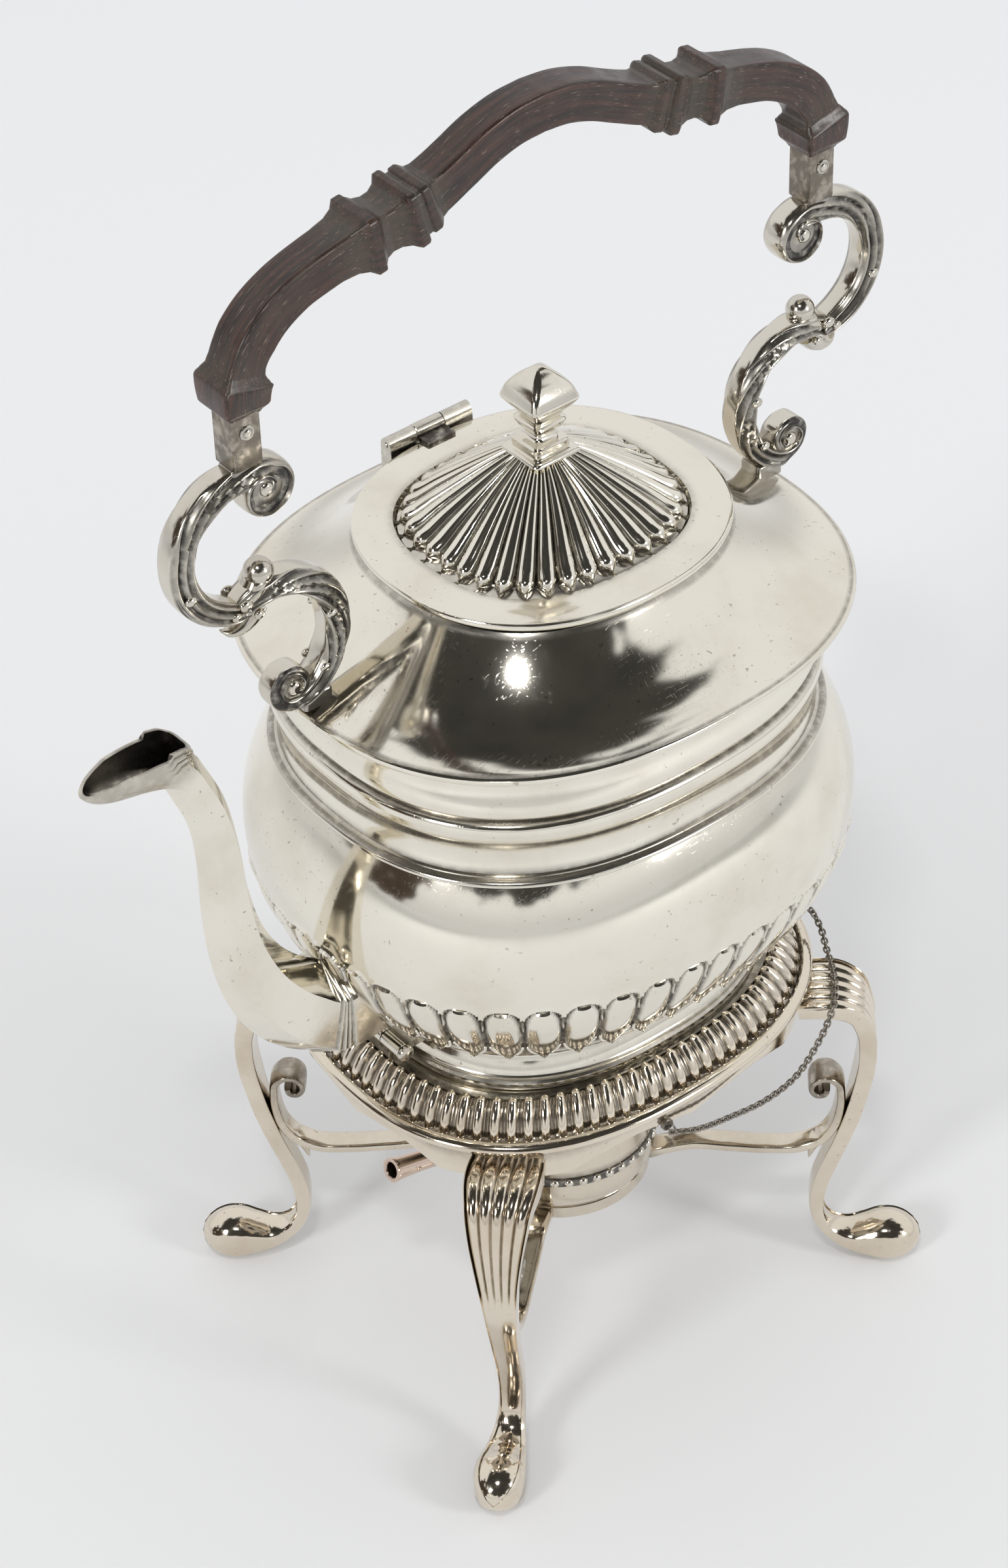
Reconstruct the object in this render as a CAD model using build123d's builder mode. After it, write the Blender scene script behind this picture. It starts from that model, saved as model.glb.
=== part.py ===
"""Silver spirit kettle on stand: hinged-lid kettle, four-legged stand, burner and hinge pins."""
from build123d import *
import math
import os

os.makedirs("parts", exist_ok=True)

# ---------------------------------------------------------------- driving dimensions, mm
section_power = 2.4  # roundness of the cushion-shaped outlines: 2 is an ellipse
kettle_side_step = 7.0  # how much shorter each kettle outline is in Y than in X
stand_side_step = 9.0  # the same for the stand
seat_gap = 0.1  # gap under what rests on a seat: kettle foot, lid and burner
flat_gap = 0.3  # gap between faces that move past each other

# Outlines are given by their half length in X, and those that go together by their steps
# Stand: rim, gadroon band and platform
rim_half = 64.6
platform_z = 106.0  # top face of the stand's platform
rim_z = platform_z - 7.6
rim_rod = 1.7
band_foot_half = rim_half - 3.4  # the gadroon band's outer foot, inside the rim
crest_half = rim_half - 8.6
crest_z = platform_z + 1.2
crest_width = 1.7
band_thickness = 1.7
platform_opening_half = crest_half - 18.0
platform_thickness = 1.6

# Kettle
foot_edge_half = crest_half - 5.0  # foot ring, just inside the crest
foot_edge_height = 3.0
foot_neck_half = foot_edge_half - 3.5
foot_top_z = platform_z + 13.5  # where the foot meets the belly's underside
foot_top_half = foot_edge_half - 2.4
foot_wall = 1.6
belly_top_half = 64.8  # where the shoulder stands on the belly
belly_half = belly_top_half + 7.0
belly_bottom_half = belly_half - 11.8
belly_bottom_z = foot_top_z + 7.5  # lower edge of the belly, where its underside begins
belly_mid_z = belly_bottom_z + 32.0
belly_top_z = belly_mid_z + 25.0
body_wall = 1.2
strainer_hole_radius = 1.5
strainer_ring_radius = 4.0
strainer_holes = 6
shoulder_top_z = belly_top_z + 33.4  # underside of the overhanging flange
flange_half = belly_top_half + 5.7
flange_thickness = 1.6
collar_z = shoulder_top_z + 20.8  # top of the collar that the lid rests on
collar_half = 41.5
lid_opening_half = collar_half - 7.5

# Lid
lid_flange_half = collar_half + 1.3
lid_side_step = 2.8  # the lid is nearer to square than the body
lid_flange_thickness = 1.8
lid_wall = 1.2
dome_half = lid_flange_half - 11.4
dome_height = 20.0
dome_power = 1.4  # the dome is tent-shaped: nearly straight from rim to finial
bezel_depth = 5.0
bezel_gap = 0.6
lid_hinge_radius = 1.9
lid_hinge_z = collar_z + 3.0
lid_hinge_y = lid_flange_half - 0.4
lid_hinge_half_length = 12.0
lid_knuckle_half_length = 4.0
lid_pin_radius = 0.8
pin_clearance = 0.05  # radial running clearance of every pin

# Finial
finial_base_half = 5.0
finial_neck_half = 2.6
finial_knob_half = 6.7
finial_height = 21.8
finial_stem_radius = 1.5
finial_stem_length = 5.2

# Handle
post_half_span = 80.0
socket_half = 3.6
socket_height = 13.0
bracket_top_z = collar_z + 52.3
bracket_reach = post_half_span + 21.5  # kettle axis to the outside of the handle brackets
bracket_rod = 3.5
bracket_pad_length = 7.0  # the pad under each bracket's foot
bracket_pad_height = 9.0
bracket_foot_x = flange_half - 4.5
grip_half = 4.6
grip_ring_half = 6.9
grip_collar_half = 6.2
grip_crown_z = bracket_top_z + 53.7
rivet_radius = 0.9

# Spout
spout_reach = belly_half + 55.7  # kettle axis to the spout's lip
centre_x = (spout_reach - bracket_reach) / 2  # kettle axis in the part's frame

# Stand: apron, legs and scrolls
apron_height = 9.0
apron_inset = 2.4  # from the rim's outside to the apron's
apron_thickness = 1.6
apron_long_arch = rim_half - 30.6  # half run of the arches in the apron's lower edge
apron_short_arch = rim_half - 38.6
leg_angle = 40.5  # direction of the legs from the long axis
leg_thickness = 4.4
leg_top_width = 19.0
leg_waist_width = 6.4
foot_ball_length = 20.0
foot_ball_radius = 7.1
foot_flat = 0.25  # depth of the flat worn under each foot
foot_ball_reach = rim_half + 19.9  # kettle axis to the middle of a foot
scroll_width = 6.0
scroll_thickness = 2.8
scroll_volute_radius = 4.5

# Hinge between kettle and stand
hinge_x = foot_neck_half + 6.7
hinge_z = platform_z + 6.6
hinge_radius = 2.0
hinge_pin_radius = 1.0
hinge_half_length = 10.0
hinge_middle_half = 3.0
back_pin_drawn = 14.0  # how far the back pin is drawn out of its home
pin_eye_radius = 1.8
pin_eye_wire = 0.28

# Burner
ring_inner_radius = 22.0
ring_outer_radius = 23.8
ring_z = 36.0
ring_height = 4.0
bowl_bottom_z = 31.0
bowl_radius = 25.2
bowl_wall = 1.0
girdle_z = 50.3
girdle_wire = 1.3
cover_top_z = 65.0
wick_tube_radius = 5.5
wick_tube_wall = 0.8
wick_tube_top_z = 74.0
wick_rise = 3.0
snuffer_radius = 7.4
snuffer_wall = 0.8
snuffer_height = 15.0
handle_tube_radius = 2.6
handle_tube_bore = 2.0
handle_tube_flare = 3.2
handle_tube_tilt = 15.0
handle_tube_mouth_x = bowl_radius + 27.8

# Chain
link_wire = 0.26
link_half_width = 0.72  # middle line of the wire
link_straight = 0.42
link_slack = 0.07
end_link_offset = 0.33  # from an eye's wire to the middle of the link that hangs in it
loop_x = -9.0
loop_z = rim_z - 6.1
loop_radius = 1.5
loop_wire = 0.28


# ---------------------------------------------------------------- shared shapes
def level(z):
    """A horizontal plane at height z with its origin on the kettle's axis."""
    return Plane(origin=(centre_x, 0, z))


side = Plane(origin=(centre_x, 0, 0), x_dir=(1, 0, 0), z_dir=(0, -1, 0))


def cushion(z, half_x, half_y):
    """A horizontal cushion-shaped face, a superellipse, at height z."""
    steps = 32
    points = []
    for step in range(steps):
        c = math.cos(2 * math.pi * step / steps)
        s = math.sin(2 * math.pi * step / steps)
        x = math.copysign(abs(c) ** (2 / section_power), c) * half_x
        y = math.copysign(abs(s) ** (2 / section_power), s) * half_y
        points.append((x, y))
    with BuildSketch(level(z)) as face:
        with BuildLine():
            Spline(*points, periodic=True)
        make_face()
    return face.sketch.face()


def stack(profile, side_step, inset=0.0):
    """Cushion faces for a profile of (height, half length in X), each drawn in by inset."""
    return [cushion(z, half - inset, half - side_step - inset) for z, half in profile]


def belly_half_at(z):
    """Half length in X of the belly at height z."""
    if z >= belly_mid_z:
        share = (z - belly_mid_z) / (belly_top_z - belly_mid_z)
        return belly_half - (belly_half - belly_top_half) * share**2.2
    share = (belly_mid_z - z) / (belly_mid_z - belly_bottom_z)
    return belly_half - (belly_half - belly_bottom_half) * share**2


def radial(angle):
    """A vertical plane through the kettle's axis: x outwards at that angle, y upwards."""
    a = math.radians(angle)
    return Plane(
        origin=(centre_x, 0, 0),
        x_dir=(math.cos(a), math.sin(a), 0),
        z_dir=(math.sin(a), -math.cos(a), 0),
    )


def across(plane, x, y, direction):
    """The plane square to a line that runs through x, y of a plane at that many degrees."""
    a = math.radians(direction)
    return Plane(
        origin=plane.from_local_coords(Vector(x, y, 0)),
        x_dir=plane.y_dir * math.cos(a) - plane.x_dir * math.sin(a),
        z_dir=plane.x_dir * math.cos(a) + plane.y_dir * math.sin(a),
    )


def bar_section(plane, x, y, direction, thickness, width):
    """A rectangular section of a bar whose middle line lies in a plane."""
    with BuildSketch(across(plane, x, y, direction)) as face:
        Rectangle(thickness, width)
    return face.sketch.face()


def save(name, builder):
    """Label a finished piece and write its STEP file."""
    builder.part.label = name
    export_step(builder.part, f"parts/{name}.step")


# ---------------------------------------------------------------- kettle body
belly_steps = 9
belly_low = [
    belly_bottom_z + (belly_mid_z - belly_bottom_z) * k / belly_steps
    for k in range(belly_steps)
]
belly_high = [
    belly_mid_z + (belly_top_z - belly_mid_z) * k / belly_steps
    for k in range(belly_steps + 1)
]
under_run = belly_bottom_half - foot_top_half
under_rise = belly_bottom_z - foot_top_z
under_profile = [
    (foot_top_z, foot_top_half),
    (foot_top_z + 0.30 * under_rise, foot_top_half + 0.42 * under_run),
    (foot_top_z + 0.62 * under_rise, foot_top_half + 0.74 * under_run),
]
belly_profile = under_profile + [(z, belly_half_at(z)) for z in belly_low + belly_high]
shoulder_profile = [
    (belly_top_z, belly_top_half),
    (belly_top_z + 1.0, belly_top_half - 1.6),
    (belly_top_z + 3.0, belly_top_half - 2.6),
    (belly_top_z + 6.0, belly_top_half - 1.8),
    (belly_top_z + 9.0, belly_top_half - 0.8),
    (belly_top_z + 13.0, belly_top_half - 0.8),
    (belly_top_z + 15.6, belly_top_half - 2.0),
    (belly_top_z + 18.0, belly_top_half - 1.2),
    (belly_top_z + 21.0, belly_top_half - 2.0),
    (belly_top_z + 25.0, belly_top_half - 3.0),
    (belly_top_z + 29.0, belly_top_half - 1.8),
    (belly_top_z + 31.5, belly_top_half + 1.2),
    (shoulder_top_z, belly_top_half + 4.2),
]
with BuildPart() as kettle_body:
    loft(sections=stack(belly_profile, kettle_side_step), ruled=True)
    loft(sections=stack(shoulder_profile, kettle_side_step), ruled=True)
    cavity = [(z + body_wall, half) for z, half in under_profile]
    cavity += [p for p in belly_profile if p[0] > belly_bottom_z + body_wall]
    loft(sections=stack(cavity, kettle_side_step, body_wall), ruled=True, mode=Mode.SUBTRACT)
    neck = [(z, min(half, belly_top_half)) for z, half in shoulder_profile]
    loft(sections=stack(neck, kettle_side_step, body_wall + 1.4), ruled=True, mode=Mode.SUBTRACT)
    # Strainer holes where the spout joins the belly
    root = (centre_x - belly_half + 5.8, 0, belly_bottom_z + 6.0)
    spout_root = Plane(origin=root, z_dir=(-1, 0, 0))
    with Locations(spout_root):
        with PolarLocations(strainer_ring_radius, strainer_holes):
            Hole(radius=strainer_hole_radius, depth=2 * strainer_ring_radius)
save("kettle_body", kettle_body)

# ---------------------------------------------------------------- flange and top plate
flange_top_z = shoulder_top_z + flange_thickness
plate_rise = collar_z - flange_top_z
plate_run = flange_half - collar_half


def plate_z(half):
    """Height of the concave top plate where its half length in X is half."""
    share = (flange_half - half) / plate_run
    return flange_top_z + plate_rise * (0.30 * share + 0.70 * share**2)


plate_steps = 8
plate_profile = [
    (plate_z(flange_half - plate_run * k / plate_steps), flange_half - plate_run * k / plate_steps)
    for k in range(plate_steps + 1)
]


def plate_sections(inset, drop):
    """Sections of the plate; the outlines grow squarer towards the lid's collar."""
    faces = []
    for z, half in plate_profile:
        share = (flange_half - half) / plate_run
        step = kettle_side_step + (lid_side_step - kettle_side_step) * share
        faces.append(cushion(z - drop, half - inset, half - step - inset))
    return faces


with BuildPart() as top_plate:
    loft(
        sections=[
            cushion(shoulder_top_z, flange_half - 0.6, flange_half - kettle_side_step - 0.6),
            cushion(flange_top_z, flange_half, flange_half - kettle_side_step),
        ],
        ruled=True,
    )
    loft(sections=plate_sections(0, 0), ruled=True)
    # hollow underside, down through the flange
    loft(sections=plate_sections(2.2, flange_thickness), ruled=True, mode=Mode.SUBTRACT)
    opening = [(shoulder_top_z - 1.0, lid_opening_half), (collar_z + 1.0, lid_opening_half)]
    loft(sections=stack(opening, lid_side_step), ruled=True, mode=Mode.SUBTRACT)
    # Box and two outer knuckles of the lid hinge, on the long far side
    with BuildSketch(Plane.YZ.offset(centre_x)) as hinge_box:
        with BuildLine():
            Polyline(
                (lid_hinge_y - 3.4, collar_z - 1.8),
                (lid_hinge_y + lid_hinge_radius, collar_z - 7.8),
                (lid_hinge_y + lid_hinge_radius, lid_hinge_z),
                (lid_hinge_y, lid_hinge_z),
                close=True,
            )
        make_face()
        with Locations((lid_hinge_y, lid_hinge_z)):
            Circle(lid_hinge_radius)
    extrude(amount=lid_hinge_half_length, both=True)
    with Locations(Location((centre_x, lid_hinge_y, lid_hinge_z), (0, 90, 0))):
        Cylinder(
            lid_hinge_radius + flat_gap,
            2 * (lid_knuckle_half_length + flat_gap),
            mode=Mode.SUBTRACT,
        )
        Cylinder(lid_pin_radius + pin_clearance, 4 * lid_hinge_half_length, mode=Mode.SUBTRACT)
save("top_plate", top_plate)

with BuildPart() as lid_hinge_pin:
    with Locations(Location((centre_x, lid_hinge_y, lid_hinge_z), (0, 90, 0))):
        Cylinder(lid_pin_radius, 2 * lid_hinge_half_length)
save("lid_hinge_pin", lid_hinge_pin)

# ---------------------------------------------------------------- foot ring with hinge tubes
foot_z = platform_z + seat_gap
foot_profile = [
    (foot_z, foot_edge_half - 0.6),
    (foot_z + 0.8, foot_edge_half),
    (foot_z + foot_edge_height - 0.8, foot_edge_half),
    (foot_z + foot_edge_height, foot_edge_half - 0.8),
    (foot_z + foot_edge_height + 1.2, foot_edge_half - 1.6),
    (foot_z + foot_edge_height + 4.5, foot_neck_half),
    (foot_z + foot_edge_height + 7.5, foot_neck_half - 0.2),
    (foot_top_z, foot_top_half),
]


def hinge_tube(x, y_from, y_to):
    """A hinge tube along Y and its web to the foot ring, joined to the current part."""
    middle = (y_from + y_to) / 2
    with Locations(Location((centre_x + x, middle, hinge_z), (90, 0, 0))):
        Cylinder(hinge_radius, y_to - y_from)
    web = abs(x) - foot_neck_half
    with Locations((centre_x + math.copysign(abs(x) - web / 2, x), middle, hinge_z + 0.8)):
        Box(web, y_to - y_from, 2.0)


with BuildPart() as foot_ring:
    loft(sections=stack(foot_profile, kettle_side_step), ruled=True)
    hinge_tube(-hinge_x, hinge_middle_half + flat_gap, hinge_half_length)
    hinge_tube(-hinge_x, -hinge_half_length, -hinge_middle_half - flat_gap)
    hinge_tube(hinge_x, -hinge_middle_half, hinge_middle_half)
    loft(sections=stack(foot_profile, kettle_side_step, foot_wall), ruled=True, mode=Mode.SUBTRACT)
    with Locations(
        Location((centre_x - hinge_x, 0, hinge_z), (90, 0, 0)),
        Location((centre_x + hinge_x, 0, hinge_z), (90, 0, 0)),
    ):
        Cylinder(hinge_pin_radius + pin_clearance, 4 * hinge_half_length, mode=Mode.SUBTRACT)
save("foot_ring", foot_ring)

# ---------------------------------------------------------------- spout
# Down the swan neck: how far the middle stands out from the belly and above its lower edge,
# direction, half height, half width
spout_line = [
    (-10.2, 4.7, 198.0, 14.2, 12.0),
    (-2.2, 3.6, 176.0, 13.4, 11.0),
    (7.2, 10.5, 142.0, 11.4, 9.8),
    (14.8, 21.0, 121.0, 9.4, 8.6),
    (19.8, 34.5, 103.0, 7.6, 7.4),
    (22.0, 49.0, 93.0, 6.5, 6.4),
    (22.7, 64.0, 94.0, 5.7, 5.7),
    (24.6, 77.0, 105.0, 5.2, 5.3),
    (29.6, 90.2, 119.0, 5.0, 5.3),
]
spout_stations = [
    (-belly_half - out, belly_bottom_z + up, direction, half_height, half_width)
    for out, up, direction, half_height, half_width in spout_line
]
mouth_back = (-belly_half - 28.9, belly_bottom_z + 101.0)
mouth_tip = (-spout_reach, belly_bottom_z + 98.2)
mouth_half_width = 5.6
spout_wall = 1.0
six_corners = [(math.cos(math.radians(a)), math.sin(math.radians(a))) for a in range(0, 360, 60)]
# The mouth is a scoop: pointed at its tip, square at its back
scoop_corners = [(1, 0), (0.45, 1), (-0.85, 1), (-1, 0), (-0.85, -1), (0.45, -1)]


def hexagon(x, z, direction, half_height, half_width, corners=six_corners):
    """A six-sided spout section whose normal points along direction, in degrees."""
    with BuildSketch(across(side, x, z, direction)) as face:
        with BuildLine():
            Polyline(*[(a * half_height, b * half_width) for a, b in corners], close=True)
        make_face()
    return face.sketch.face()


def spout_sections(inset):
    """Hexagons along the neck, ending in the scoop of the mouth."""
    faces = [hexagon(x, z, d, h - inset, w - inset) for x, z, d, h, w in spout_stations]
    run = mouth_back[0] - mouth_tip[0]
    rise = mouth_back[1] - mouth_tip[1]
    slant = math.degrees(math.atan2(run, -rise))
    half = math.hypot(run, rise) / 2
    middle = ((mouth_back[0] + mouth_tip[0]) / 2, (mouth_back[1] + mouth_tip[1]) / 2)
    size = (half - inset, mouth_half_width - inset)
    faces.append(hexagon(*middle, slant, *size, corners=scoop_corners))
    return faces


with BuildPart() as spout:
    loft(sections=spout_sections(0), ruled=True)
    loft(sections=spout_sections(spout_wall), ruled=True, mode=Mode.SUBTRACT)
    # The root is cut to the belly
    loft(sections=stack(belly_profile, kettle_side_step), ruled=True, mode=Mode.SUBTRACT)
save("spout", spout)

with BuildPart() as spout_ferrule:
    # Reeded band around the spout's root, its inside cut to the spout
    ferrule = [(x, z, d, h + 1.1, w + 1.1) for x, z, d, h, w in spout_stations[:3]]
    loft(sections=[hexagon(*station) for station in ferrule[:2]], ruled=True)
    loft(sections=spout_sections(0), ruled=True, mode=Mode.SUBTRACT)
    loft(sections=stack(belly_profile, kettle_side_step), ruled=True, mode=Mode.SUBTRACT)
save("spout_ferrule", spout_ferrule)

# ---------------------------------------------------------------- handle
ends = {"front": -1, "back": 1}
socket_base_z = bracket_top_z
socket_top_z = socket_base_z + socket_height
rivet_z = socket_top_z - 4.0
tenon_half = socket_half - 1.0
tenon_depth = 9.0
upper_volute = (post_half_span - 4.5, bracket_top_z - 7.5)
upper_volute_radius = 7.5
bracket_half_width = 3.8
upper_arc_radius = 16.6
upper_arc_centre = (bracket_reach - bracket_rod - upper_arc_radius, bracket_top_z - 19.9)
upper_arc_end = math.radians(-80)
junction = (
    upper_arc_centre[0] + upper_arc_radius * math.cos(upper_arc_end),
    upper_arc_centre[1] + upper_arc_radius * math.sin(upper_arc_end),
)
lower_arc_middle = (bracket_foot_x - 6.5, flange_top_z + 18.0)
lower_arc_end = (bracket_foot_x + 3.0, flange_top_z + 6.0)
foot_volute = (bracket_foot_x + 5.5, flange_top_z + 8.2)
foot_volute_radius = 6.0


def bracket_side(end):
    """The vertical plane of the brackets with x outwards towards that end of the handle."""
    return Plane(origin=(centre_x, 0, 0), x_dir=(end, 0, 0), z_dir=(0, -end, 0))


for name, end in ends.items():
    plane = bracket_side(end)
    with BuildPart() as bracket:
        # Upper C scroll, lower C scroll, each a round rod on one arc
        with BuildLine(plane) as upper_scroll:
            CenterArc(upper_arc_centre, upper_arc_radius, 95, -175)
        with BuildLine(plane) as lower_scroll:
            ThreePointArc(junction, lower_arc_middle, lower_arc_end)
        for arc in (upper_scroll.line, lower_scroll.line):
            with BuildSketch(Plane(origin=arc @ 0, z_dir=arc % 0)):
                Circle(bracket_rod)
            sweep(path=arc)
        # Volutes, corner ball, thorn and the foot on the plate
        volutes = (
            (upper_volute, upper_volute_radius),
            (foot_volute, foot_volute_radius),
        )
        for (x, z), radius in volutes:
            with BuildSketch(plane):
                with Locations((x, z)):
                    Circle(radius)
            extrude(amount=bracket_half_width, both=True)
        corner = plane.from_local_coords(Vector(junction[0], junction[1], 0))
        with Locations(corner):
            Sphere(bracket_rod + 0.6)
        ball = plane.from_local_coords(Vector(junction[0] - 6.5, junction[1] + 7.0, 0))
        with Locations(ball):
            Sphere(3.0)
        with BuildSketch(plane):
            with BuildLine():
                Polyline(
                    (junction[0] - 6.0, junction[1] - 1.0),
                    (junction[0] - 7.5, junction[1] + 7.0),
                    (junction[0] - 3.5, junction[1] + 4.0),
                    (junction[0] + 1.0, junction[1] - 4.0),
                    (junction[0] - 2.5, junction[1] - 6.5),
                    close=True,
                )
            make_face()
        extrude(amount=1.8, both=True)
        with Locations(plane.from_local_coords(Vector(bracket_foot_x, flange_top_z + 3.0, 0))):
            Box(bracket_pad_length, 2 * bracket_half_width - 1.0, bracket_pad_height)
        with Locations(plane.from_local_coords(Vector(post_half_span, bracket_top_z - 3.0, 0))):
            Box(2 * socket_half + 1.0, 2 * socket_half + 1.0, 6.0)
        flange_low = [
            cushion(shoulder_top_z, flange_half - 0.6, flange_half - kettle_side_step - 0.6),
            cushion(flange_top_z, flange_half, flange_half - kettle_side_step),
        ]
        loft(sections=flange_low, ruled=True, mode=Mode.SUBTRACT)
        loft(sections=plate_sections(0, 0), ruled=True, mode=Mode.SUBTRACT)
        with BuildSketch(level(bracket_top_z)):
            with Locations((end * post_half_span, 0)):
                Rectangle(4 * upper_volute_radius, 4 * bracket_half_width)
        extrude(amount=bracket_rod + upper_volute_radius, mode=Mode.SUBTRACT)
    save(f"{name}_bracket", bracket)

    with BuildPart() as socket:
        with BuildSketch(level(socket_base_z)):
            with Locations((end * post_half_span, 0)):
                Rectangle(2 * socket_half, 2 * socket_half)
        extrude(amount=socket_top_z - socket_base_z)
        with BuildSketch(level(socket_top_z - tenon_depth)):
            with Locations((end * post_half_span, 0)):
                Rectangle(2 * tenon_half, 2 * tenon_half)
        extrude(amount=tenon_depth + 1.0, mode=Mode.SUBTRACT)
        with Locations(Location((centre_x + end * post_half_span, 0, rivet_z), (90, 0, 0))):
            Cylinder(rivet_radius, 6 * socket_half, mode=Mode.SUBTRACT)
    save(f"{name}_socket", socket)

with BuildPart() as handle_rivets:
    for end in ends.values():
        with Locations(Location((centre_x + end * post_half_span, 0, rivet_z), (90, 0, 0))):
            Cylinder(rivet_radius, 2 * socket_half)
            with Locations((0, 0, socket_half + 0.4), (0, 0, -socket_half - 0.4)):
                Cylinder(rivet_radius + 0.9, 0.8)
save("handle_rivets", handle_rivets)

# Middle line of the grip's right half, as shares of the way from the crown to the socket
grip_shares = [
    (0.0, 0.0),
    (0.175, 0.064),
    (0.350, 0.221),
    (0.444, 0.270),
    (0.575, 0.310),
    (0.712, 0.359),
    (0.850, 0.457),
    (0.944, 0.600),
    (0.992, 0.767),
    (1.0, 1.0),
]
grip_fall = grip_crown_z - socket_top_z
grip_line = [(post_half_span * x, grip_crown_z - grip_fall * fall) for x, fall in grip_shares]
grip_points = [(-x, z) for x, z in reversed(grip_line[1:])] + grip_line
ring_stations = (3, 4)  # the points of the line that carry a square ring
grip_ring_at = [grip_line[k][0] for k in ring_stations]
ring_half_length = 2.4


def grip_direction(index):
    """Direction of the grip's middle line at a point, in degrees from X."""
    last = len(grip_points) - 1
    if index in (0, last):
        return 90.0 if index == 0 else -90.0
    (x0, z0), (x1, z1) = grip_points[index - 1], grip_points[index + 1]
    return math.degrees(math.atan2(z1 - z0, x1 - x0))


def grip_square(x, z, direction, half):
    """A square section of the grip."""
    return bar_section(side, x, z, direction, 2 * half, 2 * half)


with BuildPart() as handle_grip:
    sections = [
        grip_square(x, z, grip_direction(k), grip_half) for k, (x, z) in enumerate(grip_points)
    ]
    loft(sections=sections, ruled=True)
    for index, (x, z) in enumerate(grip_points):
        if abs(x) in grip_ring_at:
            a = math.radians(grip_direction(index))
            flares = []
            for along, half in ((-1, grip_half), (0, grip_ring_half), (1, grip_half)):
                shift = along * ring_half_length
                flares.append(
                    grip_square(
                        x + shift * math.cos(a),
                        z + shift * math.sin(a),
                        grip_direction(index),
                        half,
                    )
                )
            loft(sections=flares, ruled=True)
    for end in ends.values():
        collar = [
            grip_square(end * post_half_span, socket_top_z + rise, 90.0, half)
            for rise, half in ((0, socket_half + 0.4), (5.0, grip_collar_half), (9.5, grip_half))
        ]
        loft(sections=collar, ruled=True)
        with BuildSketch(level(socket_top_z - tenon_depth)):
            with Locations((end * post_half_span, 0)):
                Rectangle(2 * tenon_half - 0.1, 2 * tenon_half - 0.1)
        extrude(amount=tenon_depth + 1.0)
        with Locations(Location((centre_x + end * post_half_span, 0, rivet_z), (90, 0, 0))):
            Cylinder(rivet_radius, 6 * socket_half, mode=Mode.SUBTRACT)
save("handle_grip", handle_grip)

# ---------------------------------------------------------------- lid
lid_base_z = collar_z + seat_gap
lid_top_z = lid_base_z + lid_flange_thickness


def dome_z(half):
    """Height of the lid's dome where its half length in X is half."""
    share = half / dome_half
    return lid_top_z + dome_height * (1 - share**dome_power)


dome_halves = [dome_half * math.sin(math.radians(a)) for a in (90, 64, 48, 36, 25, 13)]
dome_halves[-1] = max(dome_halves[-1], finial_base_half + 2.2)


def lid_sections(halves, inset, drop):
    """Sections of the dome, rounder towards the middle."""
    faces = []
    for half in halves:
        step = lid_side_step * half / dome_half
        faces.append(cushion(dome_z(half) - drop, half - inset, half - step - inset))
    return faces


with BuildPart() as lid:
    loft(
        sections=[
            cushion(z, half, half - lid_side_step)
            for z, half in (
                (lid_base_z, lid_flange_half - 0.5),
                (lid_base_z + 0.5, lid_flange_half),
                (lid_top_z - 0.5, lid_flange_half),
                (lid_top_z, lid_flange_half - 0.5),
            )
        ],
        ruled=True,
    )
    loft(sections=lid_sections(dome_halves, 0, 0), ruled=True)
    bezel_half = lid_opening_half - bezel_gap
    loft(
        sections=[
            cushion(z, bezel_half, bezel_half - lid_side_step)
            for z in (lid_base_z - bezel_depth, lid_base_z)
        ],
        ruled=True,
    )
    loft(
        sections=[
            cushion(z, bezel_half - lid_wall, bezel_half - lid_side_step - lid_wall)
            for z in (lid_base_z - bezel_depth - 1.0, lid_base_z + 0.6)
        ],
        ruled=True,
        mode=Mode.SUBTRACT,
    )
    loft(
        sections=lid_sections(dome_halves, lid_wall + 0.6, lid_wall),
        ruled=True,
        mode=Mode.SUBTRACT,
    )
    # Middle knuckle, its web on the flange, and room for the outer knuckles
    with Locations(Location((centre_x, lid_hinge_y, lid_hinge_z), (0, 90, 0))):
        Cylinder(
            lid_hinge_radius + flat_gap, 2 * lid_hinge_half_length + 1.0, mode=Mode.SUBTRACT
        )
        Cylinder(lid_hinge_radius, 2 * lid_knuckle_half_length)
    web_from = lid_flange_half - lid_side_step - 6.0
    with Locations((centre_x, (web_from + lid_hinge_y) / 2, lid_top_z + 0.5)):
        Box(2 * lid_knuckle_half_length, lid_hinge_y - web_from, 1.6)
    with Locations(Location((centre_x, lid_hinge_y, lid_hinge_z), (0, 90, 0))):
        Cylinder(lid_pin_radius + pin_clearance, 4 * lid_hinge_half_length, mode=Mode.SUBTRACT)
    with Locations((centre_x, 0, lid_top_z + dome_height)):
        Hole(radius=finial_stem_radius, depth=finial_stem_length + dome_height / 5)
save("lid", lid)

# ---------------------------------------------------------------- finial
finial_z = dome_z(dome_halves[-1])
with BuildPart() as finial:
    for outline in (
        ((0, finial_base_half + 1.6), (1.0, finial_base_half + 0.8)),
        ((1.0, finial_base_half), (2.9, finial_base_half), (3.5, finial_base_half - 1.6)),
        ((3.5, finial_neck_half), (5.8, finial_neck_half)),
        ((5.8, finial_neck_half), (8.4, finial_base_half - 0.4), (9.0, finial_neck_half + 0.8)),
        (
            (9.0, finial_neck_half + 0.8),
            (13.2, finial_knob_half - 0.4),
            (14.0, finial_knob_half),
            (14.8, finial_knob_half - 0.5),
            (18.2, finial_knob_half - 3.0),
            (finial_height, 0.4),
        ),
    ):
        sections = []
        for rise, half in outline:
            with BuildSketch(level(finial_z + rise)) as face:
                Rectangle(2 * half, 2 * half)
            sections.append(face.sketch.face())
        loft(sections=sections, ruled=True)
    with Locations((centre_x, 0, finial_z - finial_stem_length / 2)):
        Cylinder(finial_stem_radius, finial_stem_length)
save("finial", finial)

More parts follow.
